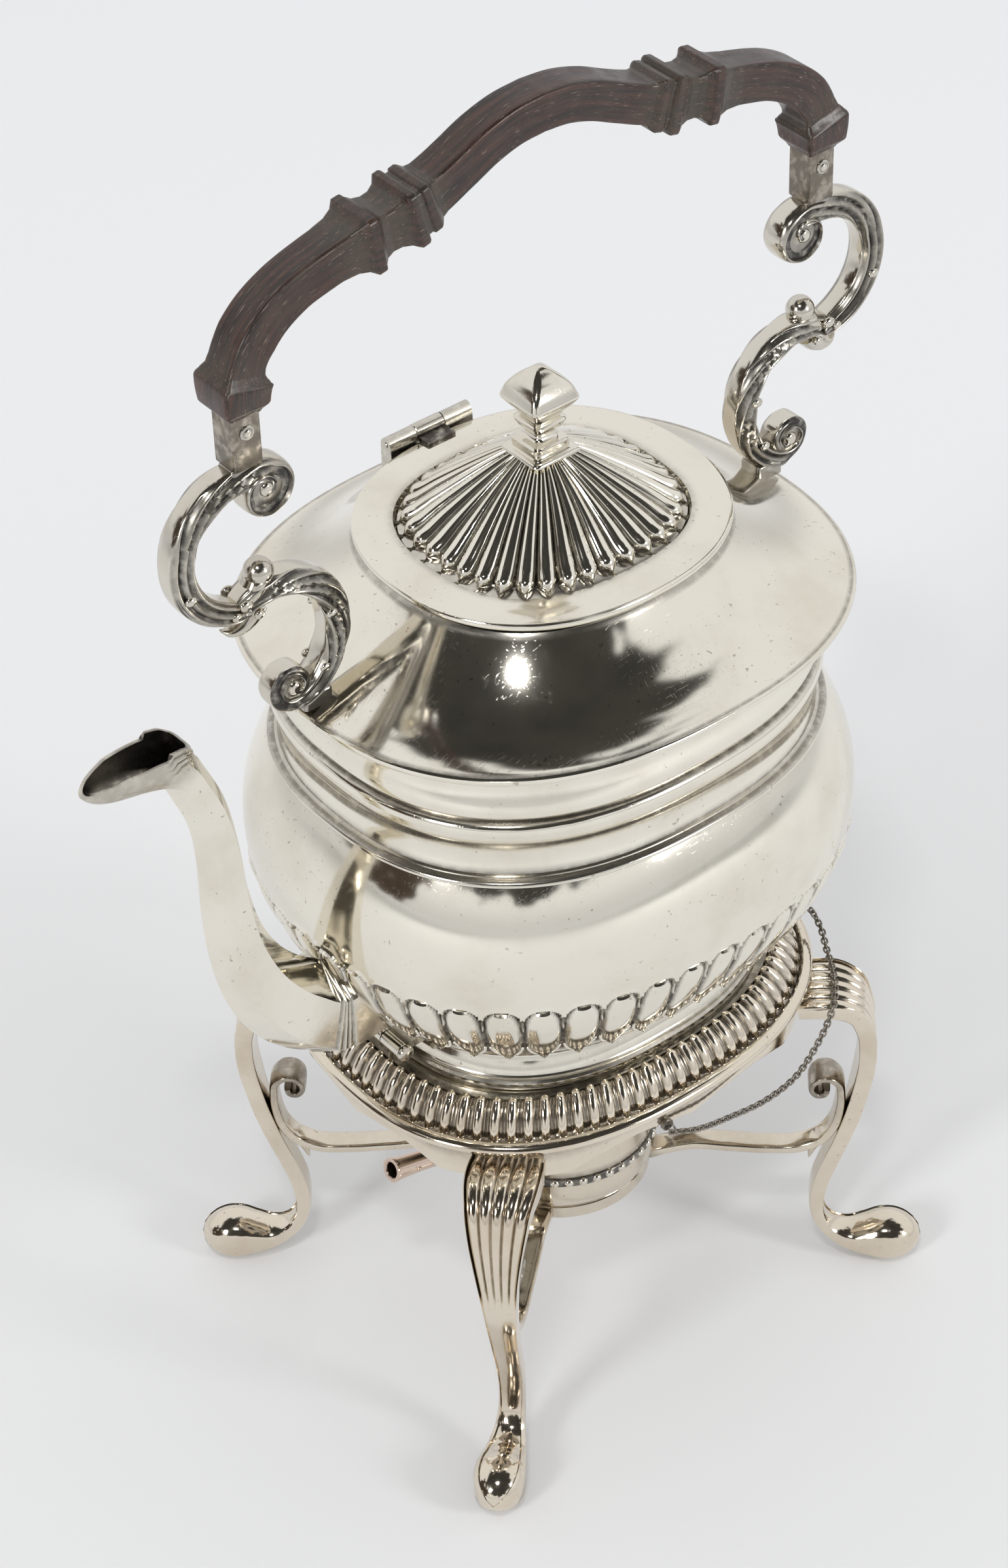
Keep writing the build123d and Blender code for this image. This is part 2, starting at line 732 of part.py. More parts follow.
with BuildPart() as finial_nut:
    with BuildSketch(level(finial_z - lid_wall - 2.2)):
        RegularPolygon(3.2, 6)
        Circle(finial_stem_radius, mode=Mode.SUBTRACT)
    extrude(amount=2.2)
save("finial_nut", finial_nut)

# ---------------------------------------------------------------- stand: rim, band, platform
rim_bottom_z = rim_z - rim_rod
rim_profile = [
    (rim_bottom_z, rim_half - 1.2),
    (rim_z - 0.55 * rim_rod, rim_half - 0.25),
    (rim_z, rim_half),
    (rim_z + 0.55 * rim_rod, rim_half - 0.25),
    (rim_z + rim_rod, rim_half - 1.2),
]


def straight(half, low, high):
    """Two equal stand outlines, for an upright wall from low to high."""
    return stack([(low, half), (high, half)], stand_side_step)


with BuildPart() as stand_rim:
    loft(sections=stack(rim_profile, stand_side_step), ruled=True)
    loft(
        sections=straight(band_foot_half, rim_bottom_z - 1.0, rim_z + rim_rod + 1.0),
        ruled=True,
        mode=Mode.SUBTRACT,
    )
save("stand_rim", stand_rim)

platform_bottom_z = platform_z - platform_thickness
platform_half = crest_half - crest_width
band_profile = [
    (rim_bottom_z, band_foot_half),
    (rim_z + 1.0, band_foot_half),
    (rim_z + 4.4, band_foot_half - 0.7),
    (rim_z + 7.2, band_foot_half - 2.5),
    (crest_z, crest_half),
]
with BuildPart() as gadroon_band:
    loft(sections=stack(band_profile, stand_side_step), ruled=True)
    under = [
        (rim_bottom_z - 0.5, band_foot_half - band_thickness),
        (rim_z + 0.6, band_foot_half - band_thickness),
        (rim_z + 3.6, band_foot_half - band_thickness - 0.9),
        (platform_bottom_z, crest_half),
    ]
    loft(sections=stack(under, stand_side_step), ruled=True, mode=Mode.SUBTRACT)
    loft(
        sections=straight(platform_half, platform_bottom_z - 1.0, crest_z + 1.0),
        ruled=True,
        mode=Mode.SUBTRACT,
    )
save("gadroon_band", gadroon_band)

lug_web_x = hinge_x - 1.35
lug_web_thickness = 1.3
lug_outer_middle = (hinge_middle_half + flat_gap + hinge_half_length) / 2
lug_outer_length = hinge_half_length - hinge_middle_half - flat_gap
# Lugs: x of the hinge, middle in Y, length in Y
lugs = [
    (-hinge_x, 0.0, 2 * hinge_middle_half),
    (hinge_x, -lug_outer_middle, lug_outer_length),
    (hinge_x, lug_outer_middle, lug_outer_length),
]
with BuildPart() as platform:
    loft(sections=straight(platform_half, platform_bottom_z, platform_z), ruled=True)
    loft(
        sections=straight(platform_opening_half, platform_bottom_z - 1.0, platform_z + 1.0),
        ruled=True,
        mode=Mode.SUBTRACT,
    )
    for x, middle, length in lugs:
        with Locations(Location((centre_x + x, middle, hinge_z), (90, 0, 0))):
            Cylinder(hinge_radius, length)
        web_height = hinge_z - platform_bottom_z
        web_x = centre_x + math.copysign(lug_web_x, x)
        with Locations((web_x, middle, hinge_z - web_height / 2)):
            Box(lug_web_thickness, length, web_height)
    with Locations(
        Location((centre_x - hinge_x, 0, hinge_z), (90, 0, 0)),
        Location((centre_x + hinge_x, 0, hinge_z), (90, 0, 0)),
    ):
        Cylinder(hinge_pin_radius + pin_clearance, 4 * hinge_half_length, mode=Mode.SUBTRACT)
save("platform", platform)

apron_half = rim_half - apron_inset
apron_bottom_z = rim_bottom_z - apron_height
apron_arch_z = rim_bottom_z - 4.0
apron_cusp_z = apron_arch_z - 2.4


def apron_arches(plane, half_run):
    """The face cut from the apron's lower edge: two arches that meet in a cusp."""
    left = (-half_run, apron_bottom_z)
    right = (half_run, apron_bottom_z)
    cusp = (0, apron_cusp_z)
    with BuildSketch(plane) as face:
        with BuildLine():
            ThreePointArc(left, (-half_run / 2, apron_arch_z), cusp)
            ThreePointArc(cusp, (half_run / 2, apron_arch_z), right)
            Polyline(
                right,
                (half_run, apron_bottom_z - 2.0),
                (-half_run, apron_bottom_z - 2.0),
                left,
            )
        make_face()
    return face.sketch.face()


with BuildPart() as apron:
    loft(sections=straight(apron_half, apron_bottom_z, rim_bottom_z), ruled=True)
    loft(
        sections=straight(apron_half - apron_thickness, apron_bottom_z - 1, rim_bottom_z + 1),
        ruled=True,
        mode=Mode.SUBTRACT,
    )
    arches = [
        apron_arches(side, apron_long_arch),
        apron_arches(Plane(origin=(centre_x, 0, 0), x_dir=(0, 1, 0), z_dir=(1, 0, 0)), apron_short_arch),
    ]
    extrude(to_extrude=arches, amount=2 * rim_half, both=True, mode=Mode.SUBTRACT)
save("apron", apron)

# ---------------------------------------------------------------- legs and their scrolls
# Down a leg: step out from the rim, share of the rim's height, direction, how much thicker
# than elsewhere, and width
leg_line = [
    (-6.6, 0.944, 4, 0.0, leg_top_width - 1.0),
    (4.9, 0.951, -3, 0.0, leg_top_width),
    (10.8, 0.929, -42, 0.6, leg_top_width - 2.4),
    (13.3, 0.849, -84, 0.4, leg_top_width - 4.8),
    (13.8, 0.732, -92, 0.0, leg_waist_width + 4.4),
    (12.4, 0.630, -98, 0.0, leg_waist_width + 2.4),
    (10.6, 0.528, -106, -0.2, leg_waist_width + 1.2),
    (6.2, 0.384, -108, -0.2, leg_waist_width + 0.2),
    (2.4, 0.268, -100, -0.2, leg_waist_width),
    (2.4, 0.175, -72, 0.0, leg_waist_width + 0.5),
    (6.4, 0.104, -38, 1.2, leg_waist_width + 2.4),
    (13.4, 0.071, -10, 3.6, leg_waist_width + 6.0),
]
leg_stations = [
    (rim_half + out, rim_z * height, direction, leg_thickness + more, width)
    for out, height, direction, more, width in leg_line
]


def leg_sections(plane):
    """Sections of one leg in its own vertical plane."""
    return [bar_section(plane, *station) for station in leg_stations]


leg_angles = [180 + leg_angle, -leg_angle, leg_angle, 180 - leg_angle]
foot_ball_z = foot_ball_radius - foot_flat
for number, angle in enumerate(leg_angles, start=1):
    plane = radial(angle)
    with BuildPart() as leg:
        loft(sections=leg_sections(plane), ruled=True)
        with BuildSketch(plane):
            with Locations((foot_ball_reach, foot_ball_z)):
                Ellipse(foot_ball_length / 2, foot_ball_radius)
                with Locations((0, -foot_ball_radius)):
                    Rectangle(foot_ball_length, 2 * foot_ball_radius, mode=Mode.SUBTRACT)
        middle = plane.from_local_coords(Vector(foot_ball_reach, foot_ball_z, 0))
        revolve(axis=Axis(middle, plane.x_dir))
        loft(
            sections=straight(apron_half, apron_bottom_z - 10.0, rim_bottom_z + 10.0),
            ruled=True,
            mode=Mode.SUBTRACT,
        )
        with Locations((centre_x, 0, -foot_ball_radius)):
            Box(4 * rim_half, 4 * rim_half, 2 * foot_ball_radius, mode=Mode.SUBTRACT)
    save(f"leg_{number}", leg)

scroll_volute = (rim_half + 4.4, ring_z + 26.0)
# Stations along a scroll from its volute to the burner ring
scroll_stations = [
    (rim_half + 7.0, ring_z + 28.0, -80),
    (rim_half + 7.5, ring_z + 20.0, -92),
    (rim_half + 6.8, ring_z + 13.6, -103),
    (rim_half + 4.0, ring_z + 7.6, -132),
    (rim_half - 1.2, ring_z + 4.4, -162),
    (ring_outer_radius + 30.2, ring_z + 3.6, -180),
    (ring_outer_radius + 20.2, ring_z + 4.2, -184),
    (ring_outer_radius + 10.2, ring_z + 5.2, -182),
    (ring_outer_radius + 4.8, ring_z + 3.8, -158),
    (ring_outer_radius - 1.5, ring_z + 2.0, -170),
]
# The small thorn under a scroll's bend
scroll_thorn = [
    (rim_half + 1.9, ring_z + 4.5),
    (rim_half, ring_z - 1.5),
    (rim_half - 3.1, ring_z + 3.4),
    (rim_half - 2.6, ring_z + 4.6),
]
for number, angle in enumerate(leg_angles, start=1):
    plane = radial(angle)
    with BuildPart() as scroll:
        loft(
            sections=[
                bar_section(plane, *station, scroll_thickness, scroll_width)
                for station in scroll_stations
            ],
            ruled=True,
        )
        with BuildSketch(plane):
            with Locations(scroll_volute):
                Circle(scroll_volute_radius)
            with BuildLine():
                Polyline(*scroll_thorn, close=True)
            make_face()
        extrude(amount=scroll_width / 2, both=True)
        loft(sections=leg_sections(plane), ruled=True, mode=Mode.SUBTRACT)
        with Locations((centre_x, 0, ring_z)):
            Cylinder(ring_outer_radius, 40, mode=Mode.SUBTRACT)
    save(f"scroll_{number}", scroll)

with BuildPart() as burner_ring:
    with BuildSketch(level(ring_z)):
        Circle(ring_outer_radius)
        Circle(ring_inner_radius, mode=Mode.SUBTRACT)
    extrude(amount=ring_height)
save("burner_ring", burner_ring)

# ---------------------------------------------------------------- pins and chain
pin_home_length = 2 * hinge_half_length
pin_head_length = 1.6
pin_head_radius = 2.2


def hinge_pin(x, drawn):
    """A hinge pin along Y with a round head and an eye, drawn out towards -Y."""
    head_face = -hinge_half_length - flat_gap - drawn
    tip = hinge_half_length - drawn
    with Locations(Location((centre_x + x, (tip + head_face) / 2, hinge_z), (90, 0, 0))):
        Cylinder(hinge_pin_radius, tip - head_face)
    with Locations(Location((centre_x + x, head_face - pin_head_length / 2, hinge_z), (90, 0, 0))):
        Cylinder(pin_head_radius, pin_head_length)
    return head_face - pin_head_length


with BuildPart() as front_pin:
    hinge_pin(-hinge_x, 0.0)
save("front_pin", front_pin)

with BuildPart() as back_pin:
    head_end = hinge_pin(hinge_x, back_pin_drawn)
    eye_y = head_end - pin_eye_radius + 0.2
    with Locations(Location((centre_x + hinge_x, eye_y, hinge_z), (0, 90, 0))):
        Torus(pin_eye_radius, pin_eye_wire)
save("back_pin", back_pin)

apron_side_y = apron_half - stand_side_step
loop_y = -apron_side_y - loop_radius - 0.6
with BuildPart() as chain_loop:
    with Locations(Location((centre_x + loop_x, -apron_side_y, loop_z), (90, 0, 0))):
        Cylinder(1.6, 2.0)
    with Locations(Location((centre_x + loop_x, loop_y, loop_z), (0, 90, 0))):
        Torus(loop_radius, loop_wire)
    loft(
        sections=straight(apron_half, apron_bottom_z - 2.0, rim_bottom_z + 2.0),
        ruled=True,
        mode=Mode.SUBTRACT,
    )
save("chain_loop", chain_loop)

# The chain hangs from the loop, lies over a knee and rises to the back pin's eye
chain_start_way = Vector(1.0, -0.12, -0.3).normalized()
chain_end_way = Vector(-0.68, 0.02, 0.73).normalized()
chain_start = Vector(loop_x, loop_y, loop_z - loop_radius) + chain_start_way * end_link_offset
chain_end = Vector(hinge_x, eye_y, hinge_z - pin_eye_radius) - chain_end_way * end_link_offset
# Round the stand: shares of the rim's half length and half width, and the drop below the rim
chain_round = [
    (-0.054, 1.018, 9.4),
    (0.132, 1.032, 11.8),
    (0.294, 1.040, 12.8),
    (0.464, 1.025, 11.8),
    (0.588, 0.989, 8.6),
    (0.669, 0.964, 4.4),
    (0.721, 0.935, 1.1),
    (0.774, 0.874, 0.7),
    (0.827, 0.795, 0.4),
]
rim_side = rim_half - stand_side_step
chain_points = [
    (chain_start.X, chain_start.Y, chain_start.Z),
    *[(rim_half * x, -rim_side * y, rim_z - drop) for x, y, drop in chain_round],
    (hinge_x + 2.8, eye_y - 10.1, hinge_z - 12.9),
    (hinge_x + 5.4, eye_y - 4.7, hinge_z - 10.5),
    (hinge_x + 5.2, eye_y - 1.7, hinge_z - 7.6),
    (hinge_x + 3.0, eye_y - 0.3, hinge_z - 4.7),
    (chain_end.X, chain_end.Y, chain_end.Z),
]
with BuildLine() as chain_line:
    Spline(
        *[(centre_x + x, y, z) for x, y, z in chain_points],
        tangents=(chain_start_way, chain_end_way),
    )
route = chain_line.edges()[0]
link_pitch = link_straight + 2 * link_half_width - 2 * link_wire - link_slack
# An odd number of links, so that the first and last both stand upright in their eyes
link_count = 2 * round(route.length / (2 * link_pitch)) + 1
with BuildPart() as one_link:
    with BuildLine() as link_line:
        half = link_straight / 2
        Line((-half, link_half_width), (half, link_half_width))
        TangentArc((half, link_half_width), (half, -link_half_width), tangent=(1, 0))
        Line((half, -link_half_width), (-half, -link_half_width))
        TangentArc((-half, -link_half_width), (-half, link_half_width), tangent=(-1, 0))
    with BuildSketch(Plane(origin=(0, link_half_width, 0), x_dir=(0, 1, 0), z_dir=(1, 0, 0))):
        Circle(link_wire)
    sweep(path=link_line.wires()[0])

upright = Vector(0, 0, 1)
with BuildPart() as pin_chain:
    for index in range(link_count):
        share = index / (link_count - 1)
        along = route.tangent_at(share)
        normal = along.cross(upright).normalized()
        if index % 2:
            normal = normal.cross(along).normalized()
        place = Plane(origin=route.position_at(share), x_dir=along, z_dir=normal)
        add(one_link.part.moved(place.location))
save("pin_chain", pin_chain)

# ---------------------------------------------------------------- burner
bowl_shoulder_z = ring_z + ring_height + seat_gap
girdle_low_z = girdle_z - girdle_wire
girdle_high_z = girdle_z + girdle_wire
bowl_seat_radius = ring_inner_radius - flat_gap
bowl_outline = [
    (0, bowl_bottom_z),
    (12.0, bowl_bottom_z),
    (18.0, bowl_bottom_z + 1.8),
    (bowl_seat_radius, bowl_bottom_z + 5.6),
    (bowl_seat_radius, bowl_shoulder_z),
    (bowl_seat_radius + 1.8, bowl_shoulder_z),
    (bowl_radius, bowl_shoulder_z + 4.5),
    (bowl_radius, girdle_low_z),
]
bowl_inside = [
    (bowl_radius - bowl_wall, girdle_low_z),
    (bowl_radius - bowl_wall, bowl_shoulder_z + 4.8),
    (bowl_seat_radius + 0.6, bowl_shoulder_z + bowl_wall),
    (bowl_seat_radius - bowl_wall, bowl_shoulder_z + bowl_wall),
    (bowl_seat_radius - bowl_wall, bowl_bottom_z + 6.0),
    (17.4, bowl_bottom_z + 2.8),
    (11.8, bowl_bottom_z + bowl_wall),
    (0, bowl_bottom_z + bowl_wall),
]
with BuildPart() as burner_bowl:
    with BuildSketch(side):
        with BuildLine():
            Polyline(*bowl_outline, *bowl_inside, close=True)
        make_face()
    revolve(axis=Axis((centre_x, 0, 0), (0, 0, 1)))
save("burner_bowl", burner_bowl)

with BuildPart() as bead_girdle:
    with BuildSketch(side):
        with Locations((bowl_radius, girdle_z)):
            Circle(girdle_wire)
        with Locations((bowl_radius - bowl_wall / 2, girdle_z)):
            Rectangle(bowl_wall, 2 * girdle_wire)
        with Locations((bowl_radius - bowl_wall - girdle_wire, girdle_z)):
            Rectangle(2 * girdle_wire, 4 * girdle_wire, mode=Mode.SUBTRACT)
    revolve(axis=Axis((centre_x, 0, 0), (0, 0, 1)))
save("bead_girdle", bead_girdle)

cover_outline = [
    (bowl_radius, girdle_high_z),
    (bowl_radius, girdle_high_z + 6.4),
    (bowl_radius - 1.4, cover_top_z - 4.6),
    (18.0, cover_top_z - 2.0),
    (10.0, cover_top_z - 0.4),
    (wick_tube_radius, cover_top_z),
]
cover_inside = [
    (wick_tube_radius, cover_top_z - bowl_wall),
    (10.0, cover_top_z - 0.4 - bowl_wall),
    (17.6, cover_top_z - 2.0 - bowl_wall),
    (bowl_radius - 2.2, cover_top_z - 5.4),
    (bowl_radius - bowl_wall, girdle_high_z + 6.2),
    (bowl_radius - bowl_wall, girdle_high_z),
]
tube_base = (handle_tube_mouth_x, 64.0)
tube_tilt = math.radians(handle_tube_tilt)
tube_length = (handle_tube_mouth_x - bowl_radius + 3.0) / math.cos(tube_tilt)
tube_start = Plane(
    origin=(centre_x - tube_base[0], 0, tube_base[1]),
    x_dir=(0, 1, 0),
    z_dir=(math.cos(tube_tilt), 0, -math.sin(tube_tilt)),
)
with BuildPart() as burner_cover:
    with BuildSketch(side):
        with BuildLine():
            Polyline(*cover_outline, *cover_inside, close=True)
        make_face()
    revolve(axis=Axis((centre_x, 0, 0), (0, 0, 1)))
    with BuildSketch(tube_start):
        Circle(handle_tube_radius)
    extrude(amount=tube_length, mode=Mode.SUBTRACT)
save("burner_cover", burner_cover)

tube_rivet_back = 7.0
with BuildPart() as handle_tube:
    with BuildSketch(tube_start):
        Circle(handle_tube_radius)
    extrude(amount=tube_length)
    with BuildSketch(tube_start):
        Circle(handle_tube_flare)
    with BuildSketch(tube_start.offset(9.0)):
        Circle(handle_tube_radius)
    loft(ruled=True)
    with BuildSketch(tube_start):
        Circle(handle_tube_bore)
    extrude(amount=tube_length - 3.0, mode=Mode.SUBTRACT)
    with Locations(tube_start.offset(tube_rivet_back).location):
        with Locations(Location((0, 0, 0), (0, 90, 0))):
            Cylinder(
                0.7,
                6.0,
                align=(Align.CENTER, Align.CENTER, Align.MAX),
                mode=Mode.SUBTRACT,
            )
save("handle_tube", handle_tube)

with BuildPart() as tube_rivet:
    with Locations(tube_start.offset(tube_rivet_back).location):
        with Locations(Location((0, 0, 0), (0, 90, 0))):
            with Locations((0, 0, -handle_tube_bore)):
                Cylinder(0.7, 1.4, align=(Align.CENTER, Align.CENTER, Align.MAX))
save("tube_rivet", tube_rivet)

with BuildPart() as wick_tube:
    with Locations((centre_x, 0, (bowl_bottom_z + 4.0 + wick_tube_top_z) / 2)):
        Cylinder(wick_tube_radius, wick_tube_top_z - bowl_bottom_z - 4.0)
        Cylinder(wick_tube_radius - wick_tube_wall, 60, mode=Mode.SUBTRACT)
save("wick_tube", wick_tube)

wick_bottom_z = bowl_bottom_z + bowl_wall + 1.0
wick_top_z = wick_tube_top_z + wick_rise
with BuildPart() as wick:
    with Locations((centre_x, 0, (wick_bottom_z + wick_top_z) / 2)):
        Cylinder(wick_tube_radius - wick_tube_wall, wick_top_z - wick_bottom_z)
save("wick", wick)

snuffer_base_z = cover_top_z + 0.3
with BuildPart() as snuffer_cap:
    with BuildSketch(side):
        with BuildLine():
            top = snuffer_base_z + snuffer_height
            Polyline(
                (snuffer_radius - snuffer_wall, snuffer_base_z),
                (snuffer_radius, snuffer_base_z),
                (snuffer_radius, top - 2.0),
                (snuffer_radius - 2.0, top),
                (0, top),
                (0, top - snuffer_wall),
                (snuffer_radius - 2.4, top - snuffer_wall),
                (snuffer_radius - snuffer_wall, top - 2.4),
                close=True,
            )
        make_face()
    revolve(axis=Axis((centre_x, 0, 0), (0, 0, 1)))
    with Locations((centre_x, 0, top + 2.0)):
        Sphere(2.2)
save("snuffer_cap", snuffer_cap)
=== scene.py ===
"""Looks of the silver spirit kettle on stand: dressed meshes, finishes, studio and camera."""
import math

import bmesh
import bpy
import numpy as np
from mathutils import Matrix, Vector


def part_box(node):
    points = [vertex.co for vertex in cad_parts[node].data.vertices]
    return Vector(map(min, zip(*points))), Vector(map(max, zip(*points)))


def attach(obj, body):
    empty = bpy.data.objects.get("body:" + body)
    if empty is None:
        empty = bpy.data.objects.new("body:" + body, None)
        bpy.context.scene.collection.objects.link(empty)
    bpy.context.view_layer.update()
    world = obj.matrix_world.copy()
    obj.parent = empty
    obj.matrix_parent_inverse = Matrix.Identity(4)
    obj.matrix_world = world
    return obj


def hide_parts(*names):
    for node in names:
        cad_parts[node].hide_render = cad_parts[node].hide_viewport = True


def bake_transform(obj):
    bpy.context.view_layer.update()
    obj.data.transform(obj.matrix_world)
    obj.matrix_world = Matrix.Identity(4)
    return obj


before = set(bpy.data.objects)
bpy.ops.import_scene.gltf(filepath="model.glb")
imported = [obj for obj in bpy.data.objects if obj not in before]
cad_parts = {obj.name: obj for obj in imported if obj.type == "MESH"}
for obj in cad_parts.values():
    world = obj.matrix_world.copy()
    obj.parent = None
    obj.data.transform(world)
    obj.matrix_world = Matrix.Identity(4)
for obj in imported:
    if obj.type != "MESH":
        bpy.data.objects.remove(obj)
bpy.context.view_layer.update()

# ---------------------------------------------------------------- sizes, mm from the kettle's axis
body_low, body_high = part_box("kettle_body")
centre_x = (body_low.x + body_high.x) / 2  # the kettle's axis in the frame, metres
power = 2.4  # roundness of the cushion-shaped outlines
kettle_step = 7.0  # how much shorter the kettle's outlines are in Y than in X
stand_step = 9.0
lid_step = 2.8

belly_low_z, belly_mid_z, belly_top_z = 127.0, 159.0, 184.0
belly_half, belly_low_half, belly_top_half = 71.8, 60.0, 64.8
belly_lobes, lobe_cols = 46, 18
lobe_crown, lobe_trough, lobe_lip = 1.5, 0.75, 0.4  # heights and depth of a lobe's relief
lobe_beads, bead_radius = 15, 0.45
lobe_base_z, lobe_top_z = belly_low_z + 0.9, 150.8
flange_half, flange_top_z = 70.5, 219.0
collar_z, collar_half = 238.2, 41.5
opening_half = 34.0
lid_z = collar_z + 0.1
lid_half, lid_thickness = 42.8, 1.8
dome_half, dome_height, dome_lobes, dome_cols = 31.4, 20.0, 36, 16
finial_z = 257.56
lid_hinge_y, lid_hinge_z, lid_hinge_r, lid_hinge_half = 42.4, 241.2, 1.9, 4.0
box_half, box_gap = 12.0, 4.15  # the hinge box's outer ends, and the gap for the lid's knuckle
neck_rows, mouth_rows = 90, 26  # rows of the spout's neck and of its scoop
band_lobes, band_cols, band_depth = 88, 14, 1.15
apron_half, apron_top_z, apron_low_z = 62.2, 96.7, 87.7
arch_half_x, arch_half_y = 34.0, 26.0  # half runs of the apron's arches on its sides
leg_angles = [180 + 40.5, -40.5, 40.5, 180 - 40.5]
leg_count, reeded_count = 200, 110  # rows along a leg, and those that have reeds
leg_front, leg_reeds, reed_depth = 0.94, 5, 1.15  # leg_front: the flat share of the width
hinge_x, hinge_z, knuckle_r = 54.2, 112.6, 2.0
pin_r, pin_head_y, pin_end_y, pin_drawn = 1.0, -10.3, 10.0, 14.0
eye_out, eye_r, eye_wire = 3.2, 1.8, 0.28  # the ring on the drawn pin
loop_x, loop_z, loop_r = -9.0, 92.3, 1.5
post_x, socket_low_z, socket_top_z = 80.0, 290.5, 303.5
socket_face, rivet_z = 3.58, 299.5
girdle_beads, girdle_half, girdle_z, girdle_bead_r = 44, 25.1, 50.3, 1.33
link_pitch, link_half_width, link_wire, link_straight = 1.27, 0.72, 0.26, 0.42


# ---------------------------------------------------------------- curves and outlines
def run_along(points):
    """Distance along a line of points, from its first."""
    return np.concatenate([[0.0], np.cumsum(np.linalg.norm(np.diff(points, axis=0), axis=1))])


def smooth(rows, count, run=None):
    """count rows along a smooth curve through the given rows; run gives each row's place."""
    rows = np.array(rows, float)
    run = run_along(rows[:, :2]) if run is None else run
    gaps = np.diff(run)[:, None]
    slopes = np.diff(rows, axis=0) / gaps
    tangents = np.empty_like(rows)
    tangents[0], tangents[-1] = slopes[0], slopes[-1]
    tangents[1:-1] = (slopes[:-1] * gaps[1:] + slopes[1:] * gaps[:-1]) / (gaps[1:] + gaps[:-1])
    at = np.linspace(run[0], run[-1], count)
    k = np.clip(np.searchsorted(run, at, side="right") - 1, 0, len(run) - 2)
    return hermite((at - run[k])[:, None] / gaps[k], rows[k], gaps[k] * tangents[k],
                   rows[k + 1], gaps[k] * tangents[k + 1])


def hermite(t, start, leave, end, arrive):
    """A point between start and end at t, with the given way out and way in."""
    return ((2 * t**3 - 3 * t**2 + 1) * start + (t**3 - 2 * t**2 + t) * leave
            + (3 * t**2 - 2 * t**3) * end + (t**3 - t**2) * arrive)


def profile(first, *parts):
    """Smooth curves joined with a crisp edge: a start, then (count, further rows) for each."""
    curves = []
    for count, rows in parts:
        curves.append(smooth([first, *rows], count))
        first = rows[-1]
    return np.concatenate(curves)


def outline(angles, half_x, half_y, roundness=power):
    """Points round a cushion-shaped outline."""
    c, s = np.cos(angles), np.sin(angles)
    x = np.sign(c) * np.abs(c) ** (2 / roundness) * half_x
    y = np.sign(s) * np.abs(s) ** (2 / roundness) * half_y
    return np.stack([x, y], -1)


def even_angles(count, half_x, half_y, roundness=power):
    """Angles that space points evenly along an outline."""
    fine = np.linspace(0, 2 * math.pi, 8193)
    run = run_along(outline(fine, half_x, half_y, roundness))
    return np.interp(np.arange(count) / count * run[-1], run, fine)


def phases(angles, cols):
    """Place of each point across its lobe, from -0.5 to 0.5."""
    return np.arange(len(angles)) / cols % 1.0 - 0.5


def places(rows, run, at):
    """The rows at the given distances along their run."""
    return np.column_stack([np.interp(at, run, column) for column in rows.T])


def circle(count):
    """Angles that space points evenly round a circle."""
    return np.arange(count) / count * 2 * math.pi


def rings(angles, rows, step, roundness=power):
    """A grid of outlines, one for each row of (z, half length in X)."""
    steps = np.broadcast_to(step, len(rows))
    powers = np.broadcast_to(roundness, len(rows))
    return np.stack([
        np.column_stack([outline(angles, half, half - gap, n), np.full(len(angles), z)])
        for (z, half), gap, n in zip(rows, steps, powers)])


def lathe(rows, count=128, centre=(0, 0, 0), across=(1, 0, 0), side=(0, 1, 0), way=(0, 0, 1)):
    """A grid of circles, one for each row of (place along way, radius)."""
    a = circle(count)[:, None]
    ring = np.cos(a) * np.array(across) + np.sin(a) * np.array(side)
    return np.stack([np.array(centre) + np.multiply(way, at) + ring * r for at, r in rows])


def soft_box(half_x, half_y, corner, count):
    """Points round a rectangle with rounded corners, count to each corner."""
    return np.array([
        (sx * (half_x - corner) + corner * math.cos(a),
         sy * (half_y - corner) + corner * math.sin(a))
        for k, (sx, sy) in enumerate([(1, 1), (-1, 1), (-1, -1), (1, -1)])
        for a in np.radians(90 * k + np.linspace(0, 90, count))])


def stacked(ring, rows, x=0.0, y=0.0):
    """A grid of one flat ring at each row of (z, scale in X, scale in Y)."""
    return np.stack([
        np.column_stack([x + ring[:, 0] * wide, y + ring[:, 1] * deep, np.full(len(ring), z)])
        for z, wide, deep in rows])


def grid_normals(grid):
    """Unit normals of a grid that closes round its columns."""
    across = np.roll(grid, -1, 1) - np.roll(grid, 1, 1)
    normal = np.cross(across, np.gradient(grid, axis=0))
    return normal / np.maximum(np.linalg.norm(normal, axis=-1, keepdims=True), 1e-9)


def raised(grid, lift):
    """A grid moved out along its normals."""
    return grid + grid_normals(grid) * lift[..., None]


def ramp(value, low, high):
    """0 below low, 1 above high, smooth between."""
    t = np.clip((value - low) / (high - low), 0, 1)
    return t * t * (3 - 2 * t)


def peak(value, width):
    """1 where value is 0, fading on both sides."""
    return np.exp(-((value / width) ** 2))


def dome(value):
    """Height of a round lobe: 1 where value is 0, and 0 from 1 on."""
    return np.sqrt(np.clip(1 - np.clip(value, 0, 1) ** 2, 0, 1))


def loop(count, roundness):
    """A unit section, as (across, side): an ellipse at 2, squarer above it."""
    return outline(circle(count), 1.0, 1.0, roundness)


